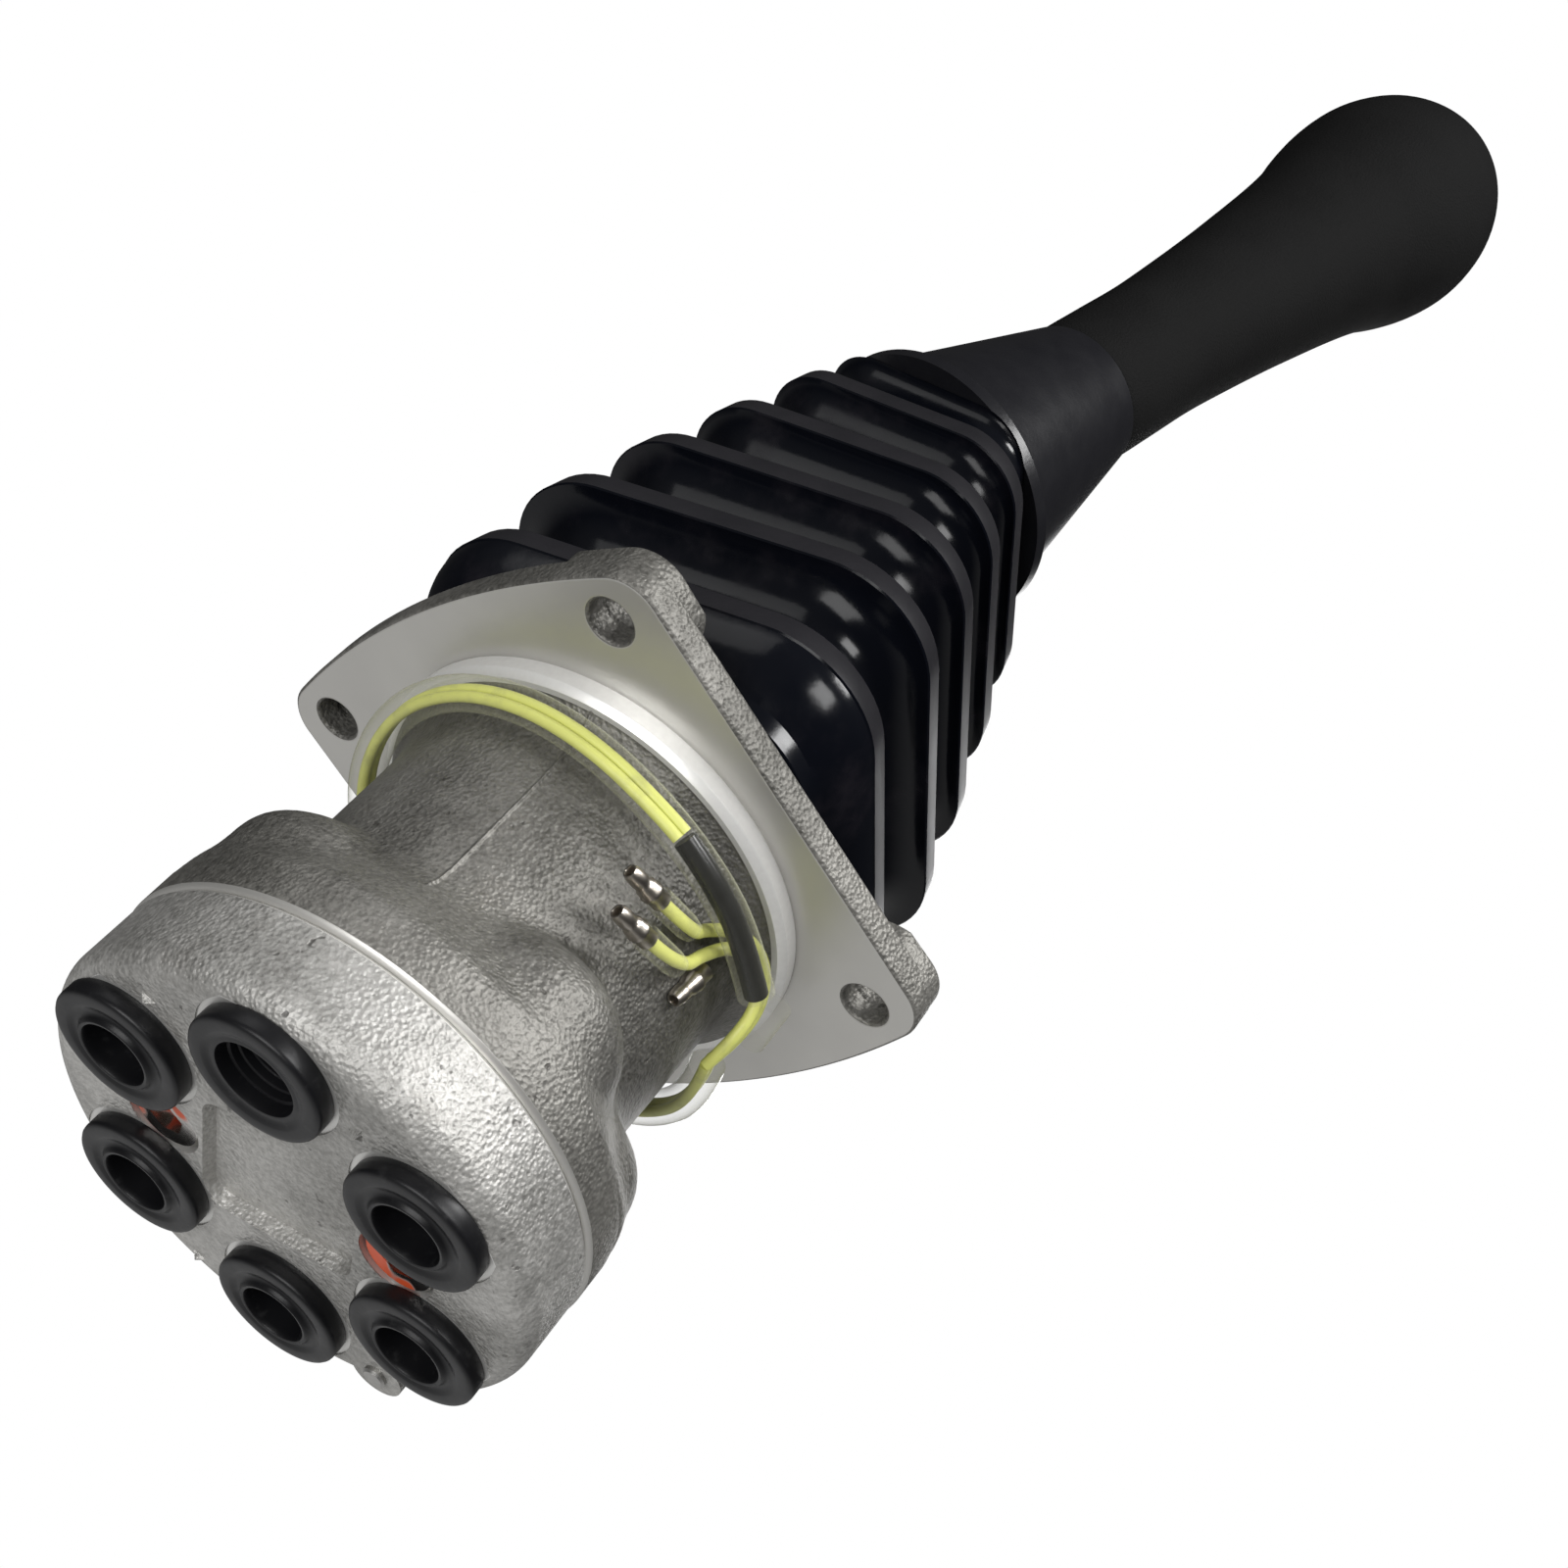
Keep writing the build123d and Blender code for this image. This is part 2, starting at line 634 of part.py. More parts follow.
with BuildPart() as joint_yoke:
    with BuildSketch(Plane.XY.offset(yoke_head_bottom)):
        Circle(yoke_head_radius)
    extrude(amount=yoke_head_thickness)
    with BuildSketch(Plane.XY.offset(yoke_head_top)):
        Circle(stud_radius)
    extrude(amount=yoke_stud_length)
    chamfer(joint_yoke.faces().sort_by(Axis.Z)[-1].edges(), 1)
    with BuildSketch(Plane.XY.offset(pivot_height)):
        with Locations((0, fork_gap / 2), (0, -fork_gap / 2)):
            Rectangle(2 * fork_half_width, fork_outer - fork_inner)
    extrude(amount=yoke_head_rise)
    with BuildSketch(Plane.XZ.offset(-fork_outer)):
        with Locations((0, pivot_height)):
            Circle(fork_half_width)
    extrude(amount=2 * fork_outer)
    with BuildSketch(Plane.XZ.offset(-fork_inner)):
        with Locations((0, pivot_height)):
            Rectangle(2 * fork_outer, 2 * fork_half_width + 2)
    extrude(amount=2 * fork_inner, mode=Mode.SUBTRACT)
    with BuildSketch(Plane.XZ.offset(-fork_outer)):
        with Locations((0, pivot_height)):
            Circle(cross_pin_radius + running_clearance)
    extrude(amount=2 * fork_outer, mode=Mode.SUBTRACT)
save(joint_yoke, "joint_yoke")

with BuildPart() as swash_plate:
    with BuildSketch(Plane.XZ):
        Polygon(
            (stud_radius + fit_clearance, yoke_head_top), (swash_hub_radius - 1.5, yoke_head_top),
            (swash_rim_inner, swash_underside), (swash_radius, swash_underside),
            (swash_radius, swash_underside + swash_rim_thickness),
            (swash_rim_inner + 2, swash_underside + swash_rim_thickness + 1),
            (swash_hub_radius, swash_hub_top), (stud_radius + fit_clearance, swash_hub_top),
            align=None,
        )
    revolve(axis=Axis.Z)
save(swash_plate, "swash_plate")


def build_nut(bottom):
    with BuildPart() as nut:
        with BuildSketch(Plane.XY.offset(bottom)):
            RegularPolygon(nut_across / 2, 6, major_radius=False)
            Circle(stud_radius + fit_clearance, mode=Mode.SUBTRACT)
        extrude(amount=nut_thickness)
    return nut


save(build_nut(swash_hub_top), "adjusting_nut")
save(build_nut(adjusting_nut_top), "lock_nut")

# handle bar: foot over the stud, straight up, bent, then along the leaning axis -------------------
stud_end = yoke_head_top + yoke_stud_length
bar_start = lock_nut_top + bar_foot_length
bar_end = bend_point + lean_direction * (neck_top + grip_length - switch_body_length)
with BuildPart() as handle_bar:
    with BuildSketch(Plane.XY.offset(lock_nut_top)):
        Circle(bar_foot_radius)
    extrude(amount=bar_foot_length)
    chamfer(handle_bar.faces().sort_by(Axis.Z)[-1].edges(), 2)
    with BuildSketch(Plane.XY.offset(lock_nut_top)):
        Circle(stud_radius + fit_clearance)
    extrude(amount=stud_end - lock_nut_top + 1, mode=Mode.SUBTRACT)
    with BuildLine() as bar_path:
        FilletPolyline((0, 0, bar_start - 1), bend_point, bar_end, radius=bend_radius)
    with BuildSketch(Plane.XY.offset(bar_start - 1)):
        Circle(bar_radius)
    sweep(path=bar_path.line)
save(handle_bar, "handle_bar")

with BuildPart() as boot_neck:
    with BuildSketch(handle_profile):
        Polygon(
            (bar_radius + fit_clearance, neck_top - 6), (bar_radius + fit_clearance, neck_top),
            (neck_top_radius, neck_top), (neck_base_radius - 2.5, neck_base + neck_lip + 2),
            (neck_base_radius, neck_base + neck_lip), (neck_base_radius, neck_base),
            (neck_base_radius - neck_wall - 2, neck_base),
            (neck_base_radius - neck_wall - 2.5, neck_base + neck_lip),
            (neck_top_radius - neck_wall, neck_top - 6),
            align=None,
        )
    revolve(axis=handle_axis)
save(boot_neck, "boot_neck")

# grip --------------------------------------------------------------------------------------------
grip_start = neck_top + grip_gap
grip_end = neck_top + grip_length
body_start = grip_end - switch_body_length
with BuildPart() as grip_core:
    with BuildSketch(handle_profile):
        Polygon(
            (bar_radius + fit_clearance, grip_start), (grip_core_radius, grip_start),
            (grip_core_radius, body_start), (bar_radius + fit_clearance, body_start),
            align=None,
        )
    revolve(axis=handle_axis)
save(grip_core, "grip_core")

with BuildPart() as grip_foam:
    with BuildSketch(handle_profile):
        with BuildLine():
            outline = Spline(
                (grip_neck_radius, grip_start + grip_lip),
                (grip_neck_radius, grip_start + grip_straight),
                (0.30 * grip_bulb_radius + 0.70 * grip_neck_radius,
                 grip_bulb_centre - grip_waist_drop),
                (0.62 * grip_bulb_radius + 0.38 * grip_neck_radius,
                 grip_bulb_centre - grip_shoulder_drop),
                (grip_bulb_radius, grip_bulb_centre),
                (0.885 * grip_bulb_radius, grip_bulb_centre + grip_crown_rise),
                (switch_body_radius + grip_lip, grip_end),
                tangents=((0, 1), (-1, 0.12)),
            )
            Polyline(
                outline @ 1, (switch_body_radius + fit_clearance, grip_end),
                (switch_body_radius + fit_clearance, body_start),
                (grip_core_radius + fit_clearance, body_start),
                (grip_core_radius + fit_clearance, grip_start),
                (grip_neck_radius - grip_lip, grip_start), outline @ 0,
            )
        make_face()
    revolve(axis=handle_axis)
save(grip_foam, "grip_foam")

# horn switch in the grip's end -------------------------------------------------------------------
button_hole = button_radius + running_clearance
with BuildPart() as switch_body:
    with BuildSketch(handle_profile):
        Polygon(
            (0, body_start), (switch_body_radius, body_start), (switch_body_radius, grip_end),
            (button_hole, grip_end), (button_hole, grip_end - button_length - button_travel),
            (0, grip_end - button_length - button_travel),
            align=None,
        )
    revolve(axis=handle_axis)
save(switch_body, "switch_body")

button_top = grip_end + button_rise
button_bottom = button_top - button_length
with BuildPart() as horn_button:
    with BuildSketch(handle_profile):
        with BuildLine():
            Polyline((0, button_top), (0, button_bottom), (button_radius, button_bottom),
                     (button_radius, button_top - button_dome))
            RadiusArc((button_radius, button_top - button_dome), (0, button_top),
                      -(button_radius**2 + button_dome**2) / (2 * button_dome))
        make_face()
    revolve(axis=handle_axis)
save(horn_button, "horn_button")

with BuildPart() as switch_spring:
    with BuildSketch(handle_plane(grip_end - button_length - button_travel)):
        Circle(switch_spring_radius)
        Circle(switch_spring_radius - 0.8, mode=Mode.SUBTRACT)
    extrude(amount=button_bottom - grip_end + button_length + button_travel)
save(switch_spring, "switch_spring")


# boot --------------------------------------------------------------------------------------------
def boot_section(centre, half_width, tilt):
    """Rounded-square section of the boot, tilted with the handle."""
    angle = math.radians(tilt)
    normal = Vector(math.sin(angle) * math.cos(turn), math.sin(angle) * math.sin(turn),
                    math.cos(angle))
    flat = Vector(math.cos(math.radians(boot_turn)), math.sin(math.radians(boot_turn)), 0)
    across = normal.cross(flat)
    plane = Plane(origin=centre, x_dir=across.cross(normal), z_dir=normal)
    with BuildSketch(plane) as section:
        RectangleRounded(2 * half_width, 2 * half_width, boot_roundness * half_width)
    return section.sketch.faces()[0]


neck_foot = bend_point + lean_direction * (neck_base - neck_clearance)
boot_height = neck_foot.Z - plate_top
fold_heights = [plate_top + share * boot_height for share in fold_shares]
valley_drop = valley_share * boot_height
foot_top = plate_top + boot_foot
sections = [(Vector(0, 0, plate_top), boot_base_half, 0.0),
            (Vector(0, 0, foot_top), boot_base_half, 0.0)]
below, below_half, below_tilt = foot_top, boot_base_half, 0.0
bowl = 1 - math.sqrt(0.5)      # a quarter round's middle point, as a share of its size
for height, half_width, tilt, valley in zip(
        fold_heights, fold_half_widths, fold_tilts, valley_half_widths):
    low = height - band_height / 2
    high = height + band_height / 2
    up, out = (0.5, 1 - bowl) if below == foot_top else (1 - bowl, bowl)
    sections.append((Vector(0, 0, below + up * (low - below)),
                     below_half + out * (half_width - below_half), (below_tilt + tilt) / 2))
    sections.append((Vector(0, 0, low), half_width, tilt))
    sections.append((Vector(0, 0, high), half_width - band_taper, tilt))
    sections.append((Vector(0, 0, high + bowl * valley_drop),
                     valley + bowl * (half_width - band_taper - valley), tilt))
    sections.append((Vector(0, 0, high + valley_drop), valley, tilt))
    below, below_half, below_tilt = high + valley_drop, valley, tilt
sections.append((neck_foot, boot_top_half, lean_angle))
with BuildPart() as boot:
    loft([boot_section(*s) for s in sections], ruled=True)
    loft([boot_section(centre, half - boot_wall, tilt) for centre, half, tilt in sections],
         ruled=True, mode=Mode.SUBTRACT)
save(boot, "boot")


# harness -----------------------------------------------------------------------------------------
def around(angle, radius, height):
    """A point beside the barrel: angle in degrees, distance from the axis, height."""
    return Vector(radius * math.cos(math.radians(angle)), radius * math.sin(math.radians(angle)),
                  height)


def cord_path(points):
    """Straight runs joined by the largest arcs that they allow."""
    radii = []
    for before, corner, after in zip(points, points[1:], points[2:]):
        first = corner - before
        second = after - corner
        half_turn = math.radians(first.get_angle(second)) / 2
        radii.append(0.45 * min(first.length, second.length) / math.tan(half_turn))
    with BuildLine() as path:
        FilletPolyline(*points, radius=radii)
    wire = path.wires()[0]
    print("cord length", round(wire.length, 1), "smallest radius", round(min(radii), 1))
    return wire


def sweep_round(line, outer, inner=0.0):
    with BuildPart() as tube:
        with BuildSketch(Plane(origin=line @ 0, z_dir=line % 0)):
            Circle(outer)
            if inner:
                Circle(inner, mode=Mode.SUBTRACT)
        sweep(path=line)
    return tube


def route(angles, reaches, drops):
    return [around(*place) for place in zip(angles, reaches, (-drop for drop in drops))]


sleeve_points = route(sleeve_angles, sleeve_reaches, sleeve_drops)
sleeve_line = cord_path(sleeve_points)
save(sweep_round(sleeve_line, sleeve_radius, sleeve_radius - sleeve_wall), "harness_sleeve")
cable_points = sleeve_points[:3] + [around(cable_end_angle, core_reach, -core_drop)]
save(sweep_round(cord_path(cable_points), core_radius), "harness_cable")


def beside(points, distances):
    """The same route, moved sideways on the barrel, by its own distance at each point."""
    moved = []
    for i, (point, distance) in enumerate(zip(points, distances)):
        along = points[min(i + 1, len(points) - 1)] - points[max(i - 1, 0)]
        outward = Vector(point.X, point.Y, 0).normalized()
        moved.append(point + outward.cross(along).normalized() * distance)
    return moved


pair_points = route(pair_angles, pair_reaches, pair_drops)
lower_strand = (beside(pair_points, pair_spreads)[:-1]
                + [around(-77, strand_end_reach, -lower_end_drop)])
upper_strand = (beside(pair_points, [-spread for spread in pair_spreads])[:-1]
                + [around(-80.5, strand_end_reach, -upper_end_drop)])
wires_in_sleeve = ([around(wires_end_angle, core_reach, -core_drop)] + sleeve_points[3:-1]
                   + [around(-35.6, pair_reaches[0], -pair_drops[0])])
with BuildPart() as harness_wires:
    add(sweep_round(cord_path(wires_in_sleeve), core_radius).part)
    for strand in (lower_strand, upper_strand):
        add(sweep_round(cord_path(strand), wire_radius).part)
save(harness_wires, "harness_wires")

# connectors: each bullet lies on the barrel, its clear insulator covers the crimp
lower_start = lower_strand[-1]
upper_start = upper_strand[-1]
lower_tip = around(-95, tip_reach, -lower_tip_drop)
upper_tip = around(-97.5, tip_reach, -upper_tip_drop)
cable_start = around(-65.5, cable_bullet_reach, -cable_start_drop)
cable_tip = around(-68, cable_bullet_reach, -cable_tip_drop)


def cylinder_between(start, end, radius, first, last):
    """Round bar on the line from start to end, between two distances from its start."""
    along = (end - start).normalized()
    with BuildPart() as bar:
        with BuildSketch(Plane(origin=start + along * first, z_dir=along)):
            Circle(radius)
        extrude(amount=last - first)
    return bar.part


with BuildPart() as bullet_connectors:
    for start, tip in ((lower_start, lower_tip), (upper_start, upper_tip)):
        add(cylinder_between(start, tip, connector_radius, insulator_length + link_gap,
                             insulator_length + connector_length))
    add(cylinder_between(cable_start, cable_tip, connector_radius, 0, connector_length))
save(bullet_connectors, "bullet_connectors")

with BuildPart() as connector_sleeves:
    for start, tip in ((lower_start, lower_tip), (upper_start, upper_tip)):
        add(cylinder_between(start, tip, insulator_radius, link_gap, insulator_length))
save(connector_sleeves, "connector_sleeves")

outlet_reach = barrel_flare_radius + outlet_radius + fit_clearance
outlet_top = around(outlet_angle, outlet_reach, -spigot_height)
outlet_bottom = around(outlet_angle, outlet_reach, -spigot_height - outlet_length)
with BuildPart() as outlet_sleeve:
    add(cylinder_between(outlet_top, outlet_bottom, outlet_radius, 0, outlet_length))
save(outlet_sleeve, "outlet_sleeve")
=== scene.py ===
import math

import bmesh
import bpy
from mathutils import Matrix, Vector, noise


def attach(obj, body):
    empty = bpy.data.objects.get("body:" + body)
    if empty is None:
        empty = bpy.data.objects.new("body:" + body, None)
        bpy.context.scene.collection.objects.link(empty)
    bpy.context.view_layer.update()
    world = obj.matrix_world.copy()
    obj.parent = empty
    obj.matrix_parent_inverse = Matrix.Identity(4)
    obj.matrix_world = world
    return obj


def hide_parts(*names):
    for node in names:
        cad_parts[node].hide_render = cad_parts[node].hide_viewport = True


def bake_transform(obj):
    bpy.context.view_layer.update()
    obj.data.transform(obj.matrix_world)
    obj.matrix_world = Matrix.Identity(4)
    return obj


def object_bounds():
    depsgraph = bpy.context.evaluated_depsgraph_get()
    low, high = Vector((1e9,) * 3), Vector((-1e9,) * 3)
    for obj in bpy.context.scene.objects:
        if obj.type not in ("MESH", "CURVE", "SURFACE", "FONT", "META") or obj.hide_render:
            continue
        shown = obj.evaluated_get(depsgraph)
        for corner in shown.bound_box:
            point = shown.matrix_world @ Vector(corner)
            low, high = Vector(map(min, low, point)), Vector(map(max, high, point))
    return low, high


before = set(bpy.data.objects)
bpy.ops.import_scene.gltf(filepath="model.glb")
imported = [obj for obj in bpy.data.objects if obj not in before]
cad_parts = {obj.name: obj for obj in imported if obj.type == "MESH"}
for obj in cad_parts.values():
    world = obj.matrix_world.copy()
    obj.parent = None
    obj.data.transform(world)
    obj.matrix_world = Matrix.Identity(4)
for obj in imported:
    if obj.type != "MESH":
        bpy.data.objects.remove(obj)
cad_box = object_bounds()
mm = 0.001

# View: the valve is seen from below and beside its ports, with the grip running away up to the
# right. The camera stands under the level of the port plugs and is rolled to lay the valve across
# the picture.
camera_place = Vector((-0.11199, -0.29332, -0.21759))
camera_right = Vector((0.51813, -0.69040, 0.50487))
camera_back = Vector((-0.31472, -0.70276, -0.63803))
lens_mm = 48.947

camera_back.normalize()
camera_up = camera_back.cross(camera_right).normalized()
camera_right = camera_up.cross(camera_back)
camera_data = bpy.data.cameras.new("camera")
camera_data.lens = lens_mm
camera_data.sensor_width = 36
camera_data.clip_start = 0.01
camera = bpy.data.objects.new("camera", camera_data)
bpy.context.scene.collection.objects.link(camera)
turn = Matrix((camera_right, camera_up, camera_back)).transposed()
camera.matrix_world = Matrix.Translation(camera_place) @ turn.to_4x4()
bpy.context.scene.camera = camera


# Studio: a pale floor at the height of the plug faces, open from below so that the low camera
# and the lamps under it see through, soft lamps on both sides, and a plain white surround.
class Socket:
    """A value in a finish. Sums and products of these add the nodes that work them out."""

    def __init__(self, tree, socket):
        self.tree = tree
        self.socket = socket

    def node(self, kind, settings=None, inputs=None, out=0):
        made = self.tree.nodes.new(kind)
        for name, value in (settings or {}).items():
            if name == "stops":
                while len(made.color_ramp.elements) < len(value):
                    made.color_ramp.elements.new(1.0)
                for element, (place, shade) in zip(made.color_ramp.elements, value):
                    element.position = place
                    element.color = (*shade, 1.0)
            else:
                setattr(made, name, value)
        self.feed(made, inputs or {})
        return Socket(self.tree, made.outputs[out])

    def feed(self, node, inputs):
        for name, value in inputs.items():
            if isinstance(value, Socket):
                self.tree.links.new(value.socket, node.inputs[name])
            elif isinstance(value, tuple) and len(value) == 3 and node.inputs[name].type == "RGBA":
                node.inputs[name].default_value = (*value, 1.0)
            else:
                node.inputs[name].default_value = value

    def math(self, operation, *values):
        return self.node("ShaderNodeMath", {"operation": operation}, dict(enumerate(values)))

    def __add__(self, other):
        return self.math("ADD", self, other)

    def __radd__(self, other):
        return self.math("ADD", other, self)

    def __sub__(self, other):
        return self.math("SUBTRACT", self, other)

    def __rsub__(self, other):
        return self.math("SUBTRACT", other, self)

    def __mul__(self, other):
        return self.math("MULTIPLY", self, other)

    def __rmul__(self, other):
        return self.math("MULTIPLY", other, self)

    def __gt__(self, other):
        return self.math("GREATER_THAN", self, other)

    def __lt__(self, other):
        return self.math("LESS_THAN", self, other)


def start_finish(name):
    """A new material; gives it with the object's own coordinates as the first value."""
    material = bpy.data.materials.new(name)
    material.use_nodes = True
    tree = material.node_tree
    return material, Socket(tree, tree.nodes.new("ShaderNodeTexCoord").outputs["Object"])


floor_half = 2.2
lamp_plan = (
    ("key", (0.06, -0.72, 0.62), 0.26, 5.4),
    ("front", (-0.05, -0.85, 0.08), 0.30, 3.4),
    ("low_fill", (-0.42, -0.42, -0.60), 0.50, 4.2),
    ("left_side", (-0.80, -0.20, 0.30), 0.45, 0.8),
    ("back", (0.50, 0.55, 0.60), 0.50, 2.6),
)
lamp_aim = Vector((0.0, 0.0, 0.03))

floor_mesh = bpy.data.meshes.new("floor")
floor_level = cad_box[0][2]
floor_mesh.from_pydata(
    [(x, y, floor_level) for x, y in ((-floor_half, -floor_half), (floor_half, -floor_half),
                                      (floor_half, floor_half), (-floor_half, floor_half))],
    [], [(0, 1, 2, 3)])
floor = bpy.data.objects.new("floor", floor_mesh)
bpy.context.scene.collection.objects.link(floor)
floor_paint, floor_place = start_finish("pale floor")
tree = floor_paint.node_tree
surface = tree.nodes["Principled BSDF"]
surface.inputs["Base Color"].default_value = (0.86, 0.86, 0.86, 1)
surface.inputs["Roughness"].default_value = 0.8
open_floor = floor_place.node("ShaderNodeBsdfTransparent")
ray = tree.nodes.new("ShaderNodeLightPath")
seen = Socket(tree, ray.outputs["Is Camera Ray"])
back_face = floor_place.node("ShaderNodeNewGeometry", out=6)
see_through = back_face.math("MAXIMUM", 1 - seen, back_face)
floor_mix = see_through.node("ShaderNodeMixShader", {}, {
    0: see_through, 1: Socket(tree, surface.outputs["BSDF"]), 2: open_floor})
tree.links.new(floor_mix.socket, tree.nodes["Material Output"].inputs["Surface"])
floor_mesh.materials.append(floor_paint)

for lamp_name, place, width, watts in lamp_plan:
    lamp_data = bpy.data.lights.new(lamp_name, "AREA")
    lamp_data.size = width
    lamp_data.energy = watts
    lamp = bpy.data.objects.new(lamp_name, lamp_data)
    lamp.location = place
    lamp.rotation_euler = (Vector(place) - lamp_aim).to_track_quat("Z", "Y").to_euler()
    bpy.context.scene.collection.objects.link(lamp)

world = bpy.data.worlds.new("white surround")
world.use_nodes = True
bpy.context.scene.world = world
world_tree = world.node_tree
world_ray = world_tree.nodes.new("ShaderNodeLightPath")
camera_ray = Socket(world_tree, world_ray.outputs["Is Camera Ray"])
glossy_ray = Socket(world_tree, world_ray.outputs["Is Glossy Ray"])
clear_ray = Socket(world_tree, world_ray.outputs["Is Transmission Ray"])
direction = Socket(world_tree, world_tree.nodes.new("ShaderNodeTexCoord").outputs["Generated"])


def towards(aim, wide, tight):
    """How nearly a direction of the surround points along a line, from 0 to 1."""
    line = Vector(aim).normalized()
    lined = direction.node("ShaderNodeVectorMath", {"operation": "DOT_PRODUCT"},
                           {0: direction, 1: tuple(line)}, out=1)
    return lined.node("ShaderNodeMapRange", {"interpolation_type": "SMOOTHSTEP"},
                      {0: lined, 1: wide, 2: tight, 3: 0.0, 4: 1.0})


ambient = 0.30
low_sheet = towards((0.45, 0.62, -0.64), 0.25, 0.97)
front_glow = towards((0.0, -0.80, 0.60), 0.55, 1.0)
left_glow = towards((-0.9, -0.3, 0.1), 0.5, 1.0)
reflected = 0.03 + low_sheet * 0.55 + front_glow * 0.08 + left_glow * 0.12
white = camera_ray.math("MAXIMUM", camera_ray, clear_ray)
level = white + (1 - white) * (glossy_ray * reflected + (1 - glossy_ray) * ambient)
backdrop = world_tree.nodes["Background"]
backdrop.inputs["Color"].default_value = (1, 1, 1, 1)
world_tree.links.new(level.socket, backdrop.inputs["Strength"])
bpy.context.scene.view_settings.view_transform = "Standard"

# Casing: one grey iron casting of a square mounting plate, a round spigot and a barrel, whose
# lobes stand over the four spring chambers. It is shot-blasted as cast, and the plate's
# underside, the spigot and the joint's edge are machined bright. The spigot's near-white colour
# also carries a painted highlight.
joint_level = -68.6 * mm
plate_top = 6 * mm
plate_half_depth = 50.7 * mm
plate_half_width = 53.5 * mm
plate_side_radius = 175 * mm
plate_corner = 8.5 * mm
edge_round = 0.75 * mm
bolt_half = 40 * mm
bolt_hole_radius = 4.3 * mm
boss_reach = 12.5 * mm
boss_top = 9.3 * mm
spigot_radius = 42.7 * mm
spigot_level = -4.6 * mm
barrel_profile = (
    (-4.6, 40.4), (-4.75, 39.9), (-5.6, 38.9), (-7.0, 37.8), (-9.5, 36.7), (-13.0, 36.1),
    (-18.0, 35.9), (-26.0, 35.8), (-36.0, 35.8), (-42.0, 35.9), (-45.5, 36.6), (-48.5, 38.2),
    (-51.5, 40.2), (-54.5, 42.4), (-57.0, 44.3), (-58.9, 45.6), (-60.2, 46.2), (-61.2, 46.4),
    (-64.0, 46.4), (-67.7, 46.4), (-67.8, 46.35), (-68.55, 45.6), (-68.6, 45.4), (-68.6, 40.0))
lobe_angles = (0, 90, 180, 270)
web_angles = (45, 135, 315)
parting_angle = -134.0
iron_dark = (0.10, 0.097, 0.087)
iron_pale = (0.30, 0.292, 0.27)
machined_pale = (0.62, 0.61, 0.58)
machined_dark = (0.52, 0.51, 0.485)


def dress(material, *names):
    """Gives CAD nodes a finish."""
    for name in names:
        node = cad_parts[name]
        node.data.materials.clear()
        node.data.materials.append(material)


def shade(place, inputs):
    """Feeds the material's own shader."""
    place.feed(place.tree.nodes["Principled BSDF"], inputs)


def height_of(place):
    return place.node("ShaderNodeSeparateXYZ", {}, {0: place}, out=2)


def radius_of(place, centre=(0.0, 0.0)):
    """Distance from an upright axis."""
    flat = place.node("ShaderNodeVectorMath", {"operation": "MULTIPLY"}, {0: place, 1: (1, 1, 0)})
    return flat.node("ShaderNodeVectorMath", {"operation": "DISTANCE"},
                     {0: flat, 1: (*centre, 0.0)}, out=1)


def near(value, level, reach):
    return value.math("COMPARE", value, level, reach)


def either(first, second):
    return first.math("MAXIMUM", first, second)


def noise_of(place, scale, detail=2.0, rough=0.5):
    return place.node("ShaderNodeTexNoise", {}, {
        "Vector": place, "Scale": scale, "Detail": detail, "Roughness": rough})


def blend_colour(factor, first, second):
    return factor.node("ShaderNodeMix", {"data_type": "RGBA"}, {0: factor, 6: first, 7: second}, out=2)


def smooth_step(value, low, high):
    return value.node("ShaderNodeMapRange", {"interpolation_type": "SMOOTHSTEP"},
                      {0: value, 1: low, 2: high, 3: 0.0, 4: 1.0})


def bump_of(height, strength, depth):
    return height.node("ShaderNodeBump", {}, {
        "Strength": strength, "Distance": depth, "Height": height})


def cast_iron(name, machined, dark=iron_dark, pale=iron_pale, bright=machined_pale):
    """Blasted cast iron, with machined areas where the mask says."""
    material, place = start_finish(name)
    mask = machined(place)
    cast = 1 - mask
    broad = noise_of(place, 24, 4, 0.6)
    grain = noise_of(place, 900, 4, 0.65)
    pebble = place.node("ShaderNodeTexVoronoi", {"feature": "SMOOTH_F1"},
                        {"Vector": place, "Scale": 1350.0, "Smoothness": 0.6})
    pits = smooth_step(noise_of(place, 330, 2, 0.7), 0.68, 0.74)
    stain = smooth_step(noise_of(place, 46, 5, 0.7), 0.56, 0.72)
    tone = smooth_step(broad, 0.38, 0.62) * 0.55 + smooth_step(grain, 0.3, 0.7) * 0.45
    skin = blend_colour(tone, dark, pale)
    skin = blend_colour(stain * 0.35, skin, (0.15, 0.135, 0.115))
    skin = blend_colour(pits * 0.5, skin, (0.05, 0.045, 0.04))
    turning = place.node("ShaderNodeTexNoise", {}, {
        "Vector": place.node("ShaderNodeVectorMath", {"operation": "MULTIPLY"},
                             {0: place, 1: (1.0, 1.0, 30.0)}), "Scale": 60.0, "Detail": 3.0})
    steel = blend_colour(turning, bright, machined_dark)
    height = cast * (grain * 0.55 + pebble * 0.55 - pits * 0.35) + mask * turning * 0.03
    shade(place, {"Base Color": blend_colour(mask, skin, steel), "Metallic": 0.62 + mask * 0.12,
                  "Roughness": 0.50 - mask * 0.10 + (grain - 0.5) * 0.24 * cast,
                  "Normal": bump_of(height, 1.0, 0.0004)})
    return material


def casing_machined(place):
    height = height_of(place)
    radius = radius_of(place)
    underside = near(height, 0.0, 0.06 * mm)
    spigot = (radius > 40.5 * mm) * (radius < spigot_radius + 0.2 * mm) * near(
        height, spigot_level / 2, 2.5 * mm)
    joint_edge = height < joint_level + 0.9 * mm
    return either(either(underside, spigot), joint_edge)


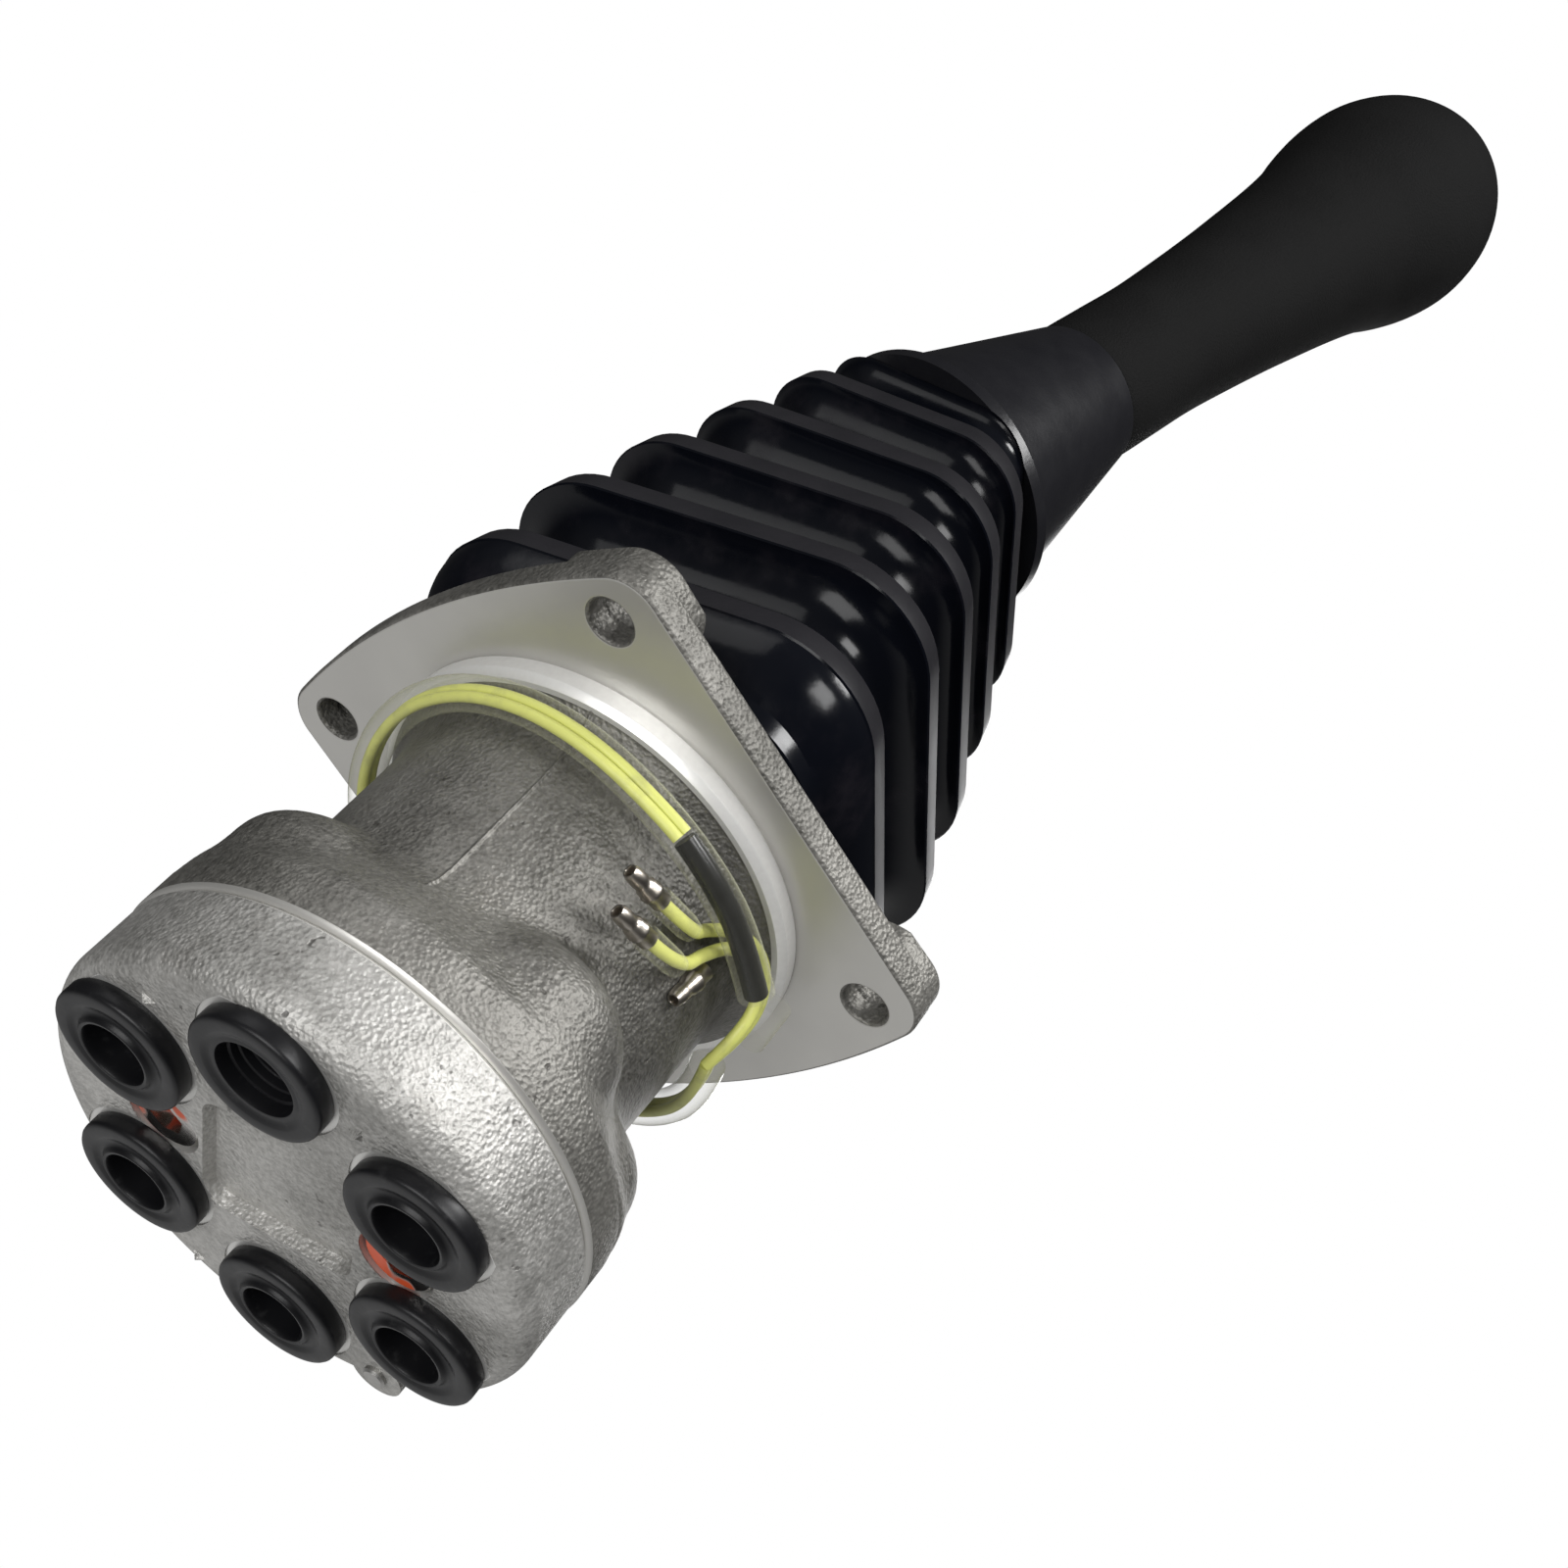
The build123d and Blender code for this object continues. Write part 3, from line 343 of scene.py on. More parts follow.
def rings_mesh(name, rings, material, cap_first=False, cap_last=False, crease=40):
    """One skin over a row of rings with the same number of points."""
    skin = bmesh.new()
    rows = [[skin.verts.new(point) for point in ring] for ring in rings]
    count = len(rings[0])
    for row, above in zip(rows, rows[1:]):
        for i in range(count):
            j = (i + 1) % count
            skin.faces.new((row[i], row[j], above[j], above[i]))
    if cap_first:
        skin.faces.new(list(reversed(rows[0])))
    if cap_last:
        skin.faces.new(rows[-1])
    skin.normal_update()
    for face in skin.faces:
        face.smooth = True
    for edge in skin.edges:
        if len(edge.link_faces) == 2 and edge.calc_face_angle(0) > math.radians(crease):
            edge.smooth = False
    mesh = bpy.data.meshes.new(name)
    skin.to_mesh(mesh)
    skin.free()
    mesh.materials.append(material)
    piece = bpy.data.objects.new(name, mesh)
    bpy.context.scene.collection.objects.link(piece)
    return piece


def smooth_profile(points, steps):
    """More points on a smooth line through the given ones."""
    made = []
    for i in range(len(points) - 1):
        before = Vector(points[max(i - 1, 0)])
        first, second = Vector(points[i]), Vector(points[i + 1])
        after = Vector(points[min(i + 2, len(points) - 1)])
        reach = (second - first).length
        lead = (second - before).normalized() * reach
        tail = (after - first).normalized() * reach
        for k in range(steps):
            t = k / steps
            made.append(first * (2 * t ** 3 - 3 * t ** 2 + 1) + lead * (t ** 3 - 2 * t ** 2 + t)
                        + second * (3 * t ** 2 - 2 * t ** 3) + tail * (t ** 3 - t ** 2))
    return made + [Vector(points[-1])]


def turned(name, profile, start, direction, material, count=64, crease=40, caps=False):
    """A lathe-turned skin from (distance, radius) points in millimetres along a line."""
    direction = Vector(direction).normalized()
    across = direction.orthogonal().normalized()
    beside = direction.cross(across)
    rings = [[Vector(start) + direction * (s * mm) + (across * math.cos(a) + beside * math.sin(a))
              * (r * mm) for a in (2 * math.pi * i / count for i in range(count))]
             for s, r in profile]
    return rings_mesh(name, rings, material, cap_first=caps, cap_last=caps, crease=crease)


def soft_max(values, softness):
    """The largest value, with the corners between values rounded."""
    top = max(values)
    return top + softness * math.log(sum(math.exp((v - top) / softness) for v in values))


def lobe_reach(angle, centre_angle, centre, size):
    """How far out a round lobe stands in one direction, from the axis."""
    off = math.radians((angle - centre_angle + 180) % 360 - 180)
    inside = size ** 2 - (centre * math.sin(off)) ** 2
    if math.cos(off) <= 0 or inside <= 0:
        return 0.0
    return centre * math.cos(off) + math.sqrt(inside)


def dome(height, crown, shoulder):
    """Share of a lobe's full size at a height, under a round dome."""
    if height >= crown:
        return 0.0
    drop = min((crown - height) / (crown - shoulder), 1.0)
    return math.sqrt(1 - (1 - drop) ** 2)


def barrel_reach(angle, height, base):
    """The barrel's radius, in millimetres, at an angle and a height."""
    if height < -60.0:
        return base
    sizes = [base]
    sizes += [lobe_reach(angle, lobe, 28.5, 17.3 * dome(height, -38.5, -51.0)) for lobe in lobe_angles]
    sizes += [lobe_reach(angle, web, 31.0, 14.2 * dome(height, -46.0, -55.5)) for web in web_angles]
    reach = soft_max(sizes, 1.3)
    ease = min(max((-height - 57.0) / 3.0, 0.0), 1.0)
    reach = reach + (min(reach, 46.3) - reach) * ease
    off = abs((angle - parting_angle + 180) % 360 - 180) * math.pi / 180 * reach
    if height > -48.0:
        reach += 0.45 * math.exp(-(off / 0.28) ** 2)
    return reach


casing_iron = cast_iron("casing iron", casing_machined)
barrel_rings = []
ring_angles = sorted([i * 0.75 for i in range(480)]
                     + [parting_angle % 360 + 0.15 * k + 0.05 for k in range(-8, 9)])
for height, base in smooth_profile(barrel_profile[:-6], 4) + [Vector(p) for p in barrel_profile[-5:]]:
    ring = []
    for angle in ring_angles:
        reach = barrel_reach(angle, height, base)
        spot = Vector((math.cos(math.radians(angle)), math.sin(math.radians(angle)), 0)) * reach
        spot.z = height
        if -67.0 < height < -4.8:
            reach = 1 + (0.14 * noise.noise(spot * 0.12) + 0.04 * noise.noise(spot * 0.9)) / reach
            spot.x, spot.y = spot.x * reach, spot.y * reach
        ring.append(spot * mm)
    barrel_rings.append(ring)
barrel = rings_mesh("casing_barrel", barrel_rings, casing_iron, crease=50)
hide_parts("casing")
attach(barrel, "valve_body")

# Turned spigot: real machined steel whose colour is painted near white, lighter than the plate's
# machined underside, as a painted highlight; the ring marks vary it at random.
spigot_steel_with_highlight, place = start_finish("turned spigot, highlight painted")
ring_marks = noise_of(place, 900, 2)
shade(place, {"Base Color": blend_colour(ring_marks, (0.93, 0.925, 0.90), (0.82, 0.81, 0.79)),
              "Metallic": 0.45, "Roughness": 0.26 + ring_marks * 0.12})
spigot = turned("casing_spigot", ((0.1, 42.45), (-0.25, 42.45), (-0.35, 42.6), (-3.3, 42.75),
                                  (-3.5, 42.65), (-4.5, 41.65), (-4.62, 41.5), (-4.62, 40.2),
                                  (-4.3, 39.9)),
                (0, 0, 0), (0, 0, 1), spigot_steel_with_highlight, count=256, crease=25)
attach(spigot, "valve_body")


def plate_edge(inset=0.0):
    """The plate's outline, anticlockwise: two flats, two bulged sides and round corners."""
    half_depth = plate_half_depth - inset
    corner = plate_corner - inset
    bulge = plate_side_radius - inset
    bulge_centre = plate_half_width - plate_side_radius
    corner_y = half_depth - corner
    corner_x = bulge_centre + math.sqrt((bulge - corner) ** 2 - corner_y ** 2)
    lean = math.atan2(corner_y, corner_x - bulge_centre)
    quarter = []
    for i in range(25):
        a = lean * i / 24
        quarter.append((bulge_centre + bulge * math.cos(a), bulge * math.sin(a)))
    for i in range(1, 13):
        a = lean + (math.pi / 2 - lean) * i / 12
        quarter.append((corner_x + corner * math.cos(a), corner_y + corner * math.sin(a)))
    upper = quarter + [(-x, y) for x, y in reversed(quarter)]
    return upper + [(x, -y) for x, y in reversed(upper[1:-1])]


def flat_slab(name, outlines, low, high, rounding, material):
    """A flat piece between two heights, with holes and rounded edges, from closed outlines."""
    sheet = bpy.data.curves.new(name, "CURVE")
    sheet.dimensions = "2D"
    sheet.fill_mode = "BOTH"
    sheet.extrude = (high - low) / 2 - rounding
    sheet.bevel_depth = rounding
    sheet.bevel_resolution = 2
    sheet.offset = -rounding
    for outline in outlines:
        spline = sheet.splines.new("POLY")
        spline.points.add(len(outline) - 1)
        for knot, (x, y) in zip(spline.points, outline):
            knot.co = (x, y, 0, 1)
        spline.use_cyclic_u = True
    shape = bpy.data.objects.new(name + "_outline", sheet)
    mesh = bpy.data.meshes.new_from_object(shape)
    bpy.data.objects.remove(shape)
    mesh.transform(Matrix.Translation((0, 0, (low + high) / 2)))
    mesh.materials.clear()
    mesh.materials.append(material)
    for face in mesh.polygons:
        face.material_index = 0
        face.use_smooth = abs(face.normal.z) < 0.999
    piece = bpy.data.objects.new(name, mesh)
    bpy.context.scene.collection.objects.link(piece)
    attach(piece, "valve_body")
    return piece


def round_outline(x, y, radius, count=48, start=0.0):
    return [(x + radius * math.cos(start - 2 * math.pi * i / count),
             y + radius * math.sin(start - 2 * math.pi * i / count)) for i in range(count)]


bolt_places = [(x * bolt_half, y * bolt_half) for x in (-1, 1) for y in (-1, 1)]
flat_slab("casing_plate", [plate_edge()] + [round_outline(x, y, bolt_hole_radius)
                                            for x, y in bolt_places],
          0.0, plate_top, edge_round, casing_iron)
for number, (x, y) in enumerate(bolt_places):
    inside = [p for p in plate_edge(0.1 * mm) if math.dist(p, (x, y)) < boss_reach]
    crossing = [p for p in round_outline(x, y, boss_reach, 72)
                if abs(p[0]) < abs(inside[0][0]) + 20 * mm
                and -plate_half_depth < p[1] < plate_half_depth
                and math.hypot(abs(p[0]) - plate_half_width + plate_side_radius, p[1])
                < plate_side_radius]
    middle = (sum(p[0] for p in inside + crossing) / len(inside + crossing),
              sum(p[1] for p in inside + crossing) / len(inside + crossing))
    rim = sorted(inside + crossing, key=lambda p: math.atan2(p[1] - middle[1], p[0] - middle[0]))
    flat_slab("casing_boss_" + str(number + 1), [rim, round_outline(x, y, bolt_hole_radius)],
              plate_top - 2.4 * mm, boss_top, 0.7 * mm, casing_iron)

# Port block: a round iron casting with a pocket cast in its face. The ports' spot faces, the
# screws' wells and the chamfered joint edge are machined.
port_level = joint_level - 16.3 * mm
spot_level = port_level + 0.3 * mm
screw_circle = 22.5 * mm
port_circle = 32.2 * mm
port_angles = (167.5, 102.5, -12.5, -77.5, 45.0)
open_port_angle = 225.0
spot_radius = 13.05 * mm
block_dark = (0.25, 0.245, 0.23)
block_pale = (0.62, 0.61, 0.585)
spot_pale = (0.95, 0.945, 0.92)


def block_machined(place):
    height = height_of(place)
    spots = height < port_level - mm
    for angle in port_angles + (open_port_angle,):
        centre = (port_circle * math.cos(math.radians(angle)),
                  port_circle * math.sin(math.radians(angle)))
        spots = either(spots, radius_of(place, centre) < spot_radius)
    spots = spots * near(height, spot_level, 0.05 * mm)
    joint_edge = height > joint_level - 0.85 * mm
    half = screw_circle * math.sqrt(0.5)
    wells = either(radius_of(place, (-half, half)) < 7.3 * mm,
                   radius_of(place, (half, -half)) < 7.3 * mm) * (height > port_level + 0.2 * mm)
    return either(either(spots, joint_edge), wells)


block_iron = cast_iron("port block iron", block_machined, block_dark, block_pale, spot_pale)
dress(block_iron, "port_plate")


def around(angle, reach, drop):
    """A point beside the axis: degrees round it, millimetres out and millimetres down."""
    return Vector((reach * math.cos(math.radians(angle)), reach * math.sin(math.radians(angle)),
                   -drop)) * mm


# Small cast arrowheads beside four ports show the fitter which way the block goes on.
mark_places = ((-38.9, 0.9), (-37.6, -6.6), (-9.35, -32.2), (12.7, 39.6))
for number, (x, y) in enumerate(mark_places):
    outward = math.atan2(y, x)
    rings = []
    for rise, size in ((-0.2, 1.6), (0.0, 1.6), (0.95, 0.1)):
        rings.append([Vector((x * mm + size * mm * math.cos(outward - k * 2 * math.pi / 3),
                              y * mm + size * mm * math.sin(outward - k * 2 * math.pi / 3),
                              port_level - rise * mm)) for k in range(3)])
    mark = rings_mesh("port_mark_" + str(number + 1), rings, block_iron, cap_last=True, crease=20)
    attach(mark, "valve_body")

# Socket head screws and the lug's dowel: plated steel, with a dab of orange-red locking lacquer
# brushed over each head.
screw_steel, place = start_finish("plated screw steel")
lacquer = smooth_step(noise_of(place, 110, 1), 0.50, 0.55)
fine = noise_of(place, 1500, 2)
shade(place, {"Base Color": blend_colour(lacquer, (0.62, 0.6, 0.57), (0.60, 0.085, 0.025)),
              "Metallic": 1 - lacquer, "Roughness": 0.18 + lacquer * 0.2,
              "Normal": bump_of(fine, 0.15, 0.0001)})
dress(screw_steel, "port_plate_screws")
dowel_steel, place = start_finish("dowel steel")
fine = noise_of(place, 1200, 3)
shade(place, {"Base Color": blend_colour(fine, (0.5, 0.49, 0.47), (0.38, 0.375, 0.36)),
              "Metallic": 1.0, "Roughness": 0.3 + fine * 0.15})
dress(dowel_steel, "lug_pin")

# Shipping plugs: black moulded plastic, pushed into the ports. Each has a turned flange with a
# raised ring round its blind bore. The sixth is wider inside, and ribbed.
plug_rim = (
    (-0.1, 11.4), (0.0, 11.8), (0.35, 12.0), (2.5, 12.0), (2.95, 11.92), (3.3, 11.66), (3.42, 11.25),
    (3.45, 10.8), (3.46, 9.5), (3.38, 9.15), (3.15, 8.7), (2.98, 8.2), (2.95, 7.8), (3.05, 7.4))
plug_profile = plug_rim + (
    (3.4, 7.05), (3.8, 6.85), (4.0, 6.6), (4.0, 6.35), (3.9, 6.1), (3.6, 5.95), (2.8, 5.88),
    (-3.0, 5.8), (-4.6, 5.7), (-5.0, 5.2), (-5.0, 0.3))
open_plug_profile = plug_rim + (
    (3.0, 7.1), (2.5, 6.95), (0.6, 6.9), (0.4, 6.45), (0.2, 6.4), (-0.9, 6.4), (-1.1, 6.1),
    (-1.3, 6.05), (-2.4, 6.05), (-2.6, 5.8), (-5.2, 5.7), (-5.4, 5.2), (-5.4, 0.3))
plug_plastic, place = start_finish("black plug plastic")
scuff = noise_of(place, 300, 4, 0.7)
nick = smooth_step(noise_of(place, 700, 2, 0.6), 0.70, 0.76)
shade(place, {"Base Color": blend_colour(smooth_step(scuff, 0.55, 0.8), (0.006, 0.006, 0.007),
                                         (0.022, 0.022, 0.023)),
              "Roughness": 0.26 + scuff * 0.22, "Specular IOR Level": 0.30,
              "Normal": bump_of(scuff * 0.6 - nick * 0.6, 0.2, 0.0001)})
for number, angle in enumerate(port_angles + (open_port_angle,)):
    is_open = angle == open_port_angle
    seat = around(angle, port_circle / mm, -spot_level / mm)
    plug = turned("port_plug_" + str(number + 1), open_plug_profile if is_open else plug_profile,
                  seat, (0, 0, -1), plug_plastic, count=96, crease=38)
    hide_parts("open_plug" if is_open else "port_plugs")
    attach(plug, "valve_body")

# Inside works: machined and hardened steel, spring steel, and black seals.
works_steel, place = start_finish("machined works steel")
lathe = noise_of(place, 500, 3)
shade(place, {"Base Color": blend_colour(lathe, (0.5, 0.49, 0.47), (0.38, 0.375, 0.36)),
              "Metallic": 1.0, "Roughness": 0.25 + lathe * 0.15})
valve_units = ("px", "py", "nx", "ny")
dress(works_steel, "rod_guides", "retaining_plate", "joint_base", "joint_cross", "joint_yoke",
      "swash_plate", "adjusting_nut", "lock_nut", "handle_bar")
for unit in valve_units:
    dress(works_steel, "push_rod_" + unit, "spring_seat_" + unit, "spool_" + unit,
          "return_spring_" + unit, "metering_spring_" + unit)
dress(works_steel, "switch_spring")
seal_rubber, place = start_finish("black seal rubber")
dust = noise_of(place, 700, 3)
shade(place, {"Base Color": blend_colour(dust, (0.01, 0.01, 0.01), (0.03, 0.03, 0.03)),
              "Roughness": 0.55 + dust * 0.2})
dress(seal_rubber, "port_seals", "guide_rings", "wiper_seals")
grip_plastic, place = start_finish("black switch plastic")
spark = noise_of(place, 1200, 2)
shade(place, {"Base Color": blend_colour(spark, (0.012, 0.012, 0.012), (0.025, 0.025, 0.025)),
              "Roughness": 0.4 + spark * 0.2})
dress(grip_plastic, "grip_core", "switch_body", "horn_button")

# Boot: black rubber bellows, moulded in one piece, with five folds that are rounded squares in
# plan. Each fold has a flat satin band round its edge and a glossy skin between the bands.
boot_turn = math.radians(35)
boot_roundness = 0.45
fold_heights = (24.5, 47.5, 70.5, 93.0, 114.5)
fold_half_widths = (45.6, 44.2, 40.2, 35.6, 31.2)
fold_tilts = (0.0, 0.0, 2.0, 5.0, 9.0)
valley_half_widths = (36.5, 34.0, 30.4, 26.6, 24.6)
lean_angle = math.radians(12.1)
lean_turn = math.radians(-42)
bend_point = Vector((0, 0, 138)) * mm
lean_direction = Vector((math.sin(lean_angle) * math.cos(lean_turn),
                         math.sin(lean_angle) * math.sin(lean_turn), math.cos(lean_angle)))
side_direction = Vector((-math.sin(lean_turn), math.cos(lean_turn), 0))
neck_base = -7.3 * mm
boot_split = 59.0


def rounded_square(half, corner, arc_steps=14, flat_steps=6):
    """Points round a rounded square, anticlockwise."""
    points = []
    for quarter in range(4):
        start = quarter * math.pi / 2
        centre = Vector((half - corner, half - corner))
        centre.rotate(Matrix.Rotation(start, 2))
        for i in range(arc_steps + 1):
            angle = start + i / arc_steps * math.pi / 2
            points.append(centre + corner * Vector((math.cos(angle), math.sin(angle))))
        following = Vector((half - corner, half - corner))
        following.rotate(Matrix.Rotation(start + math.pi / 2, 2))
        first = centre + corner * Vector((math.cos(start + math.pi / 2), math.sin(start + math.pi / 2)))
        last = following + corner * Vector((math.cos(start + math.pi / 2),
                                            math.sin(start + math.pi / 2)))
        for i in range(1, flat_steps):
            points.append(first.lerp(last, i / flat_steps))
    return points


def boot_ring(centre, half, tilt, roundness=boot_roundness):
    """A rounded-square ring, turned on the plate and tilted with the handle."""
    normal = Vector((math.sin(tilt) * math.cos(lean_turn), math.sin(tilt) * math.sin(lean_turn),
                     math.cos(tilt)))
    flat = Vector((math.cos(boot_turn), math.sin(boot_turn), 0))
    across = normal.cross(flat).normalized()
    along = across.cross(normal)
    return [centre + along * p.x + across * p.y for p in rounded_square(half, roundness * half)]


band_height = 5.6
band_taper = 0.8
valley_drop = 8.5
boot_base_half = 41.5
boot_top_half = 26.5
neck_foot = bend_point + lean_direction * (neck_base - 0.3 * mm)
curve_steps = 9

boot_rows = [(6.0, boot_base_half - 0.4, 0.0, False), (6.6, boot_base_half, 0.0, False),
             (10.0, boot_base_half, 0.0, False)]
last_height, last_half, last_tilt = 10.0, boot_base_half, 0.0
for height, half, tilt, valley in zip(fold_heights, fold_half_widths, fold_tilts,
                                      valley_half_widths):
    low, high = height - band_height / 2, height + band_height / 2
    deep = high + valley_drop
    first_section = last_height == 10.0
    for i in range(1, curve_steps):
        t = i / curve_steps
        out = math.sin(t * math.pi / 2) if first_section else 1 - math.cos(t * math.pi / 2)
        up = t if first_section else math.sin(t * math.pi / 2)
        boot_rows.append((last_height + (low - last_height) * up,
                          last_half + (half - last_half) * out,
                          last_tilt + (tilt - last_tilt) * t, False))
    boot_rows += [(low, half, tilt, False), (low + 0.35, half + 0.25, tilt, True),
                  (high - 0.35, half - band_taper + 0.25, tilt, True),
                  (high, half - band_taper, tilt, False)]
    for i in range(1, curve_steps):
        t = i / curve_steps
        boot_rows.append((high + (deep - high) * (1 - math.cos(t * math.pi / 2)),
                          half - band_taper + (valley - half + band_taper) * math.sin(t * math.pi / 2),
                          tilt, False))
    boot_rows.append((deep, valley, tilt, False))
    last_height, last_half, last_tilt = deep, valley, tilt
top_level = neck_foot.z / mm
for i in range(1, 6):
    t = i / 5
    boot_rows.append((last_height + (top_level - last_height) * t,
                      last_half + (boot_top_half - last_half) * t ** 2,
                      last_tilt + (12.1 - last_tilt) * t, False))

gloss_rubber, place = start_finish("glossy boot rubber")
smudge = noise_of(place, 55, 4, 0.65)
streak = noise_of(place, 240, 3, 0.6)
shade(place, {"Base Color": blend_colour(smooth_step(smudge, 0.5, 0.8), (0.0025, 0.003, 0.005),
                                         (0.009, 0.008, 0.011)),
              "Roughness": 0.13 + smooth_step(smudge, 0.45, 0.8) * 0.2 + streak * 0.05,
              "Specular IOR Level": 0.22,
              "Normal": bump_of(streak + smudge * 1.5, 0.12, 0.0003)})
band_rubber, place = start_finish("satin band rubber")
bloom = noise_of(place, 90, 4, 0.65)
shade(place, {"Base Color": blend_colour(bloom, (0.011, 0.011, 0.013), (0.021, 0.020, 0.023)),
              "Roughness": 0.34 + bloom * 0.12, "Specular IOR Level": 0.24,
              "Normal": bump_of(noise_of(place, 1300, 2), 0.1, 0.0002)})


def boot_part(name, rows):
    rings = []
    for height, half, tilt, _ in rows:
        lift = min(max((height - fold_heights[-1] - 11.3) / (top_level - fold_heights[-1] - 11.3), 0), 1)
        centre = Vector((0, 0, height * mm)).lerp(neck_foot, lift)
        rings.append(boot_ring(centre, half * mm, math.radians(tilt)))
    part = rings_mesh(name, rings, gloss_rubber, crease=32)
    part.data.materials.append(band_rubber)
    count = len(rings[0])
    for index, (row, above) in enumerate(zip(rows, rows[1:])):
        if row[3] and above[3]:
            for face in part.data.polygons[index * count:(index + 1) * count]:
                face.material_index = 1
    return part


split = next(i for i, row in enumerate(boot_rows) if row[0] > boot_split)
boot_lower = boot_part("boot_lower", boot_rows[:split + 1])
boot_upper = boot_part("boot_upper", boot_rows[split:])
split_place = (0, 0, boot_rows[split][0] * mm)
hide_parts("boot")
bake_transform(boot_lower)
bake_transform(boot_upper)

# Neck: moulded black plastic cone with a thin lip, pushed over the boot's top and the bar.
neck_plastic, place = start_finish("satin neck plastic")
mould = noise_of(place, 150, 4, 0.6)
shade(place, {"Base Color": blend_colour(mould, (0.006, 0.006, 0.008), (0.012, 0.012, 0.014)),
              "Roughness": 0.24 + mould * 0.12, "Specular IOR Level": 0.30,
              "Normal": bump_of(noise_of(place, 1000, 2), 0.12, 0.0002)})
dress(neck_plastic, "boot_neck")

# Grip: black closed-cell foam, moulded round its core and rubbed fine on a lathe. It stands a
# hair's breadth off the neck and closes round the horn switch at its far end.
grip_profile = ((46.9, 15.5), (47.1, 16.6), (47.7, 17.15), (63.6, 17.3), (79.5, 17.35), (96.8, 18.3),
                (112, 19.4), (125, 20.6), (144, 22.6), (158, 24.7), (167, 27.0), (176, 28.7),
                (185, 29.4), (192, 28.9), (200, 27.1), (208, 23.6), (214.5, 19.0), (219, 14.5),
                (220.9, 12.6), (221.2, 12.05))
grip_steps = 5


foam, place = start_finish("black grip foam")
cells = place.node("ShaderNodeTexVoronoi", {"feature": "F1"}, {"Vector": place, "Scale": 1900.0})
fuzz = noise_of(place, 2600, 3, 0.7)
wear = noise_of(place, 60, 4, 0.6)
rubbed = place.node("ShaderNodeTexNoise", {}, {"Vector": place, "Scale": 420.0, "Detail": 2.0})
shade(place, {"Base Color": blend_colour(fuzz * 0.5 + wear * 0.5, (0.004, 0.004, 0.004),
                                         (0.012, 0.012, 0.012)),
              "Roughness": 0.66 + wear * 0.2, "Specular IOR Level": 0.06,
              "Normal": bump_of(cells * 0.8 + fuzz * 0.6 + rubbed * 0.4, 0.55, 0.0003)})
grip = turned("foam_grip", smooth_profile(grip_profile, grip_steps), bend_point, lean_direction,
              foam, count=96)
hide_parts("grip_foam")
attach(grip, "lever")

# Horn lead: two thin wires in a clear vinyl sleeve, wound once round the barrel under the spigot.
# A black two-core cable joins them inside the sleeve, and bare bullets wait at the free ends.
sleeve_route = (
    (-57, 44.0, 15.6), (-73, 43.8, 15.2), (-89, 43.4, 14.8), (-107, 42.6, 13.6), (-127, 42.0, 11.6),
    (-148, 41.9, 9.9), (-170, 41.9, 9.0), (167, 42.0, 9.4), (143, 42.0, 10.6), (119, 42.0, 12.2),
    (95, 41.9, 14.0), (71, 42.0, 15.8), (47, 42.0, 17.6), (23, 41.9, 19.4), (-1, 41.9, 20.8),
    (-20, 41.4, 21.6), (-34, 39.6, 21.2))
cable_end = (-98.5, 43.0, 14.2)
wires_start = (-99.5, 43.0, 14.2)
wires_end = (-35.6, 39.6, 21.2)
pair_route = (
    (-34.6, 39.6, 21.2), (-42, 41.8, 17.5), (-46.5, 42.2, 10.8), (-57, 41.0, 8.9),
    (-67, 38.8, 11.4), (-73.5, 37.8, 18.0), (-78.5, 40.6, 25.2))
pair_spread = (1.25, 1.25, 1.25, 1.25, 1.35, 2.0, 2.9)
insulator_length = 9.0
sleeve_radius = 3.25
cable_radius = 2.1
wire_radius = 1.02
strand_radius = 1.15


def beside_route(points, distances):
    moved = []
    for i, (point, distance) in enumerate(zip(points, distances)):
        along = points[min(i + 1, len(points) - 1)] - points[max(i - 1, 0)]
        outward = Vector((point.x, point.y, 0)).normalized()
        moved.append(point + outward.cross(along).normalized() * distance * mm)
    return moved


def wire_curve(name, points, radius, material):
    """A round cord on one smooth line."""
    line = bpy.data.curves.new(name, "CURVE")
    line.dimensions = "3D"
    line.bevel_depth = radius * mm
    line.bevel_resolution = 8
    line.use_fill_caps = True
    line.resolution_u = 16
    spline = line.splines.new("NURBS")
    spline.points.add(len(points) - 1)
    for knot, point in zip(spline.points, points):
        knot.co = (*point, 1)
    spline.order_u = 3
    spline.use_endpoint_u = True
    line.materials.append(material)
    cord = bpy.data.objects.new(name, line)
    bpy.context.scene.collection.objects.link(cord)
    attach(cord, "valve_body")
    return cord


vinyl, place = start_finish("clear vinyl")
facing = place.node("ShaderNodeLayerWeight", {}, {"Blend": 0.5}, out=1)
cloud = noise_of(place, 160, 3)
shade(place, {"Base Color": blend_colour(cloud, (0.62, 0.62, 0.45), (0.50, 0.50, 0.34)),
              "Roughness": 0.08 + cloud * 0.08, "Specular IOR Level": 0.9,
              "Alpha": 0.03 + facing * facing * facing * 0.9})
wire_yellow, place = start_finish("yellow wire insulation")
grime = noise_of(place, 220, 3, 0.6)
shade(place, {"Base Color": blend_colour(smooth_step(grime, 0.45, 0.8), (0.62, 0.64, 0.17),
                                         (0.46, 0.47, 0.15)), "Roughness": 0.32 + grime * 0.15})
cable_black, place = start_finish("black cable jacket")
jacket = noise_of(place, 300, 3)
shade(place, {"Base Color": blend_colour(jacket, (0.005, 0.005, 0.007), (0.015, 0.015, 0.018)),
              "Roughness": 0.2 + jacket * 0.1, "Specular IOR Level": 0.3})
tinned, place = start_finish("tinned brass")
tarnish = noise_of(place, 500, 4, 0.7)
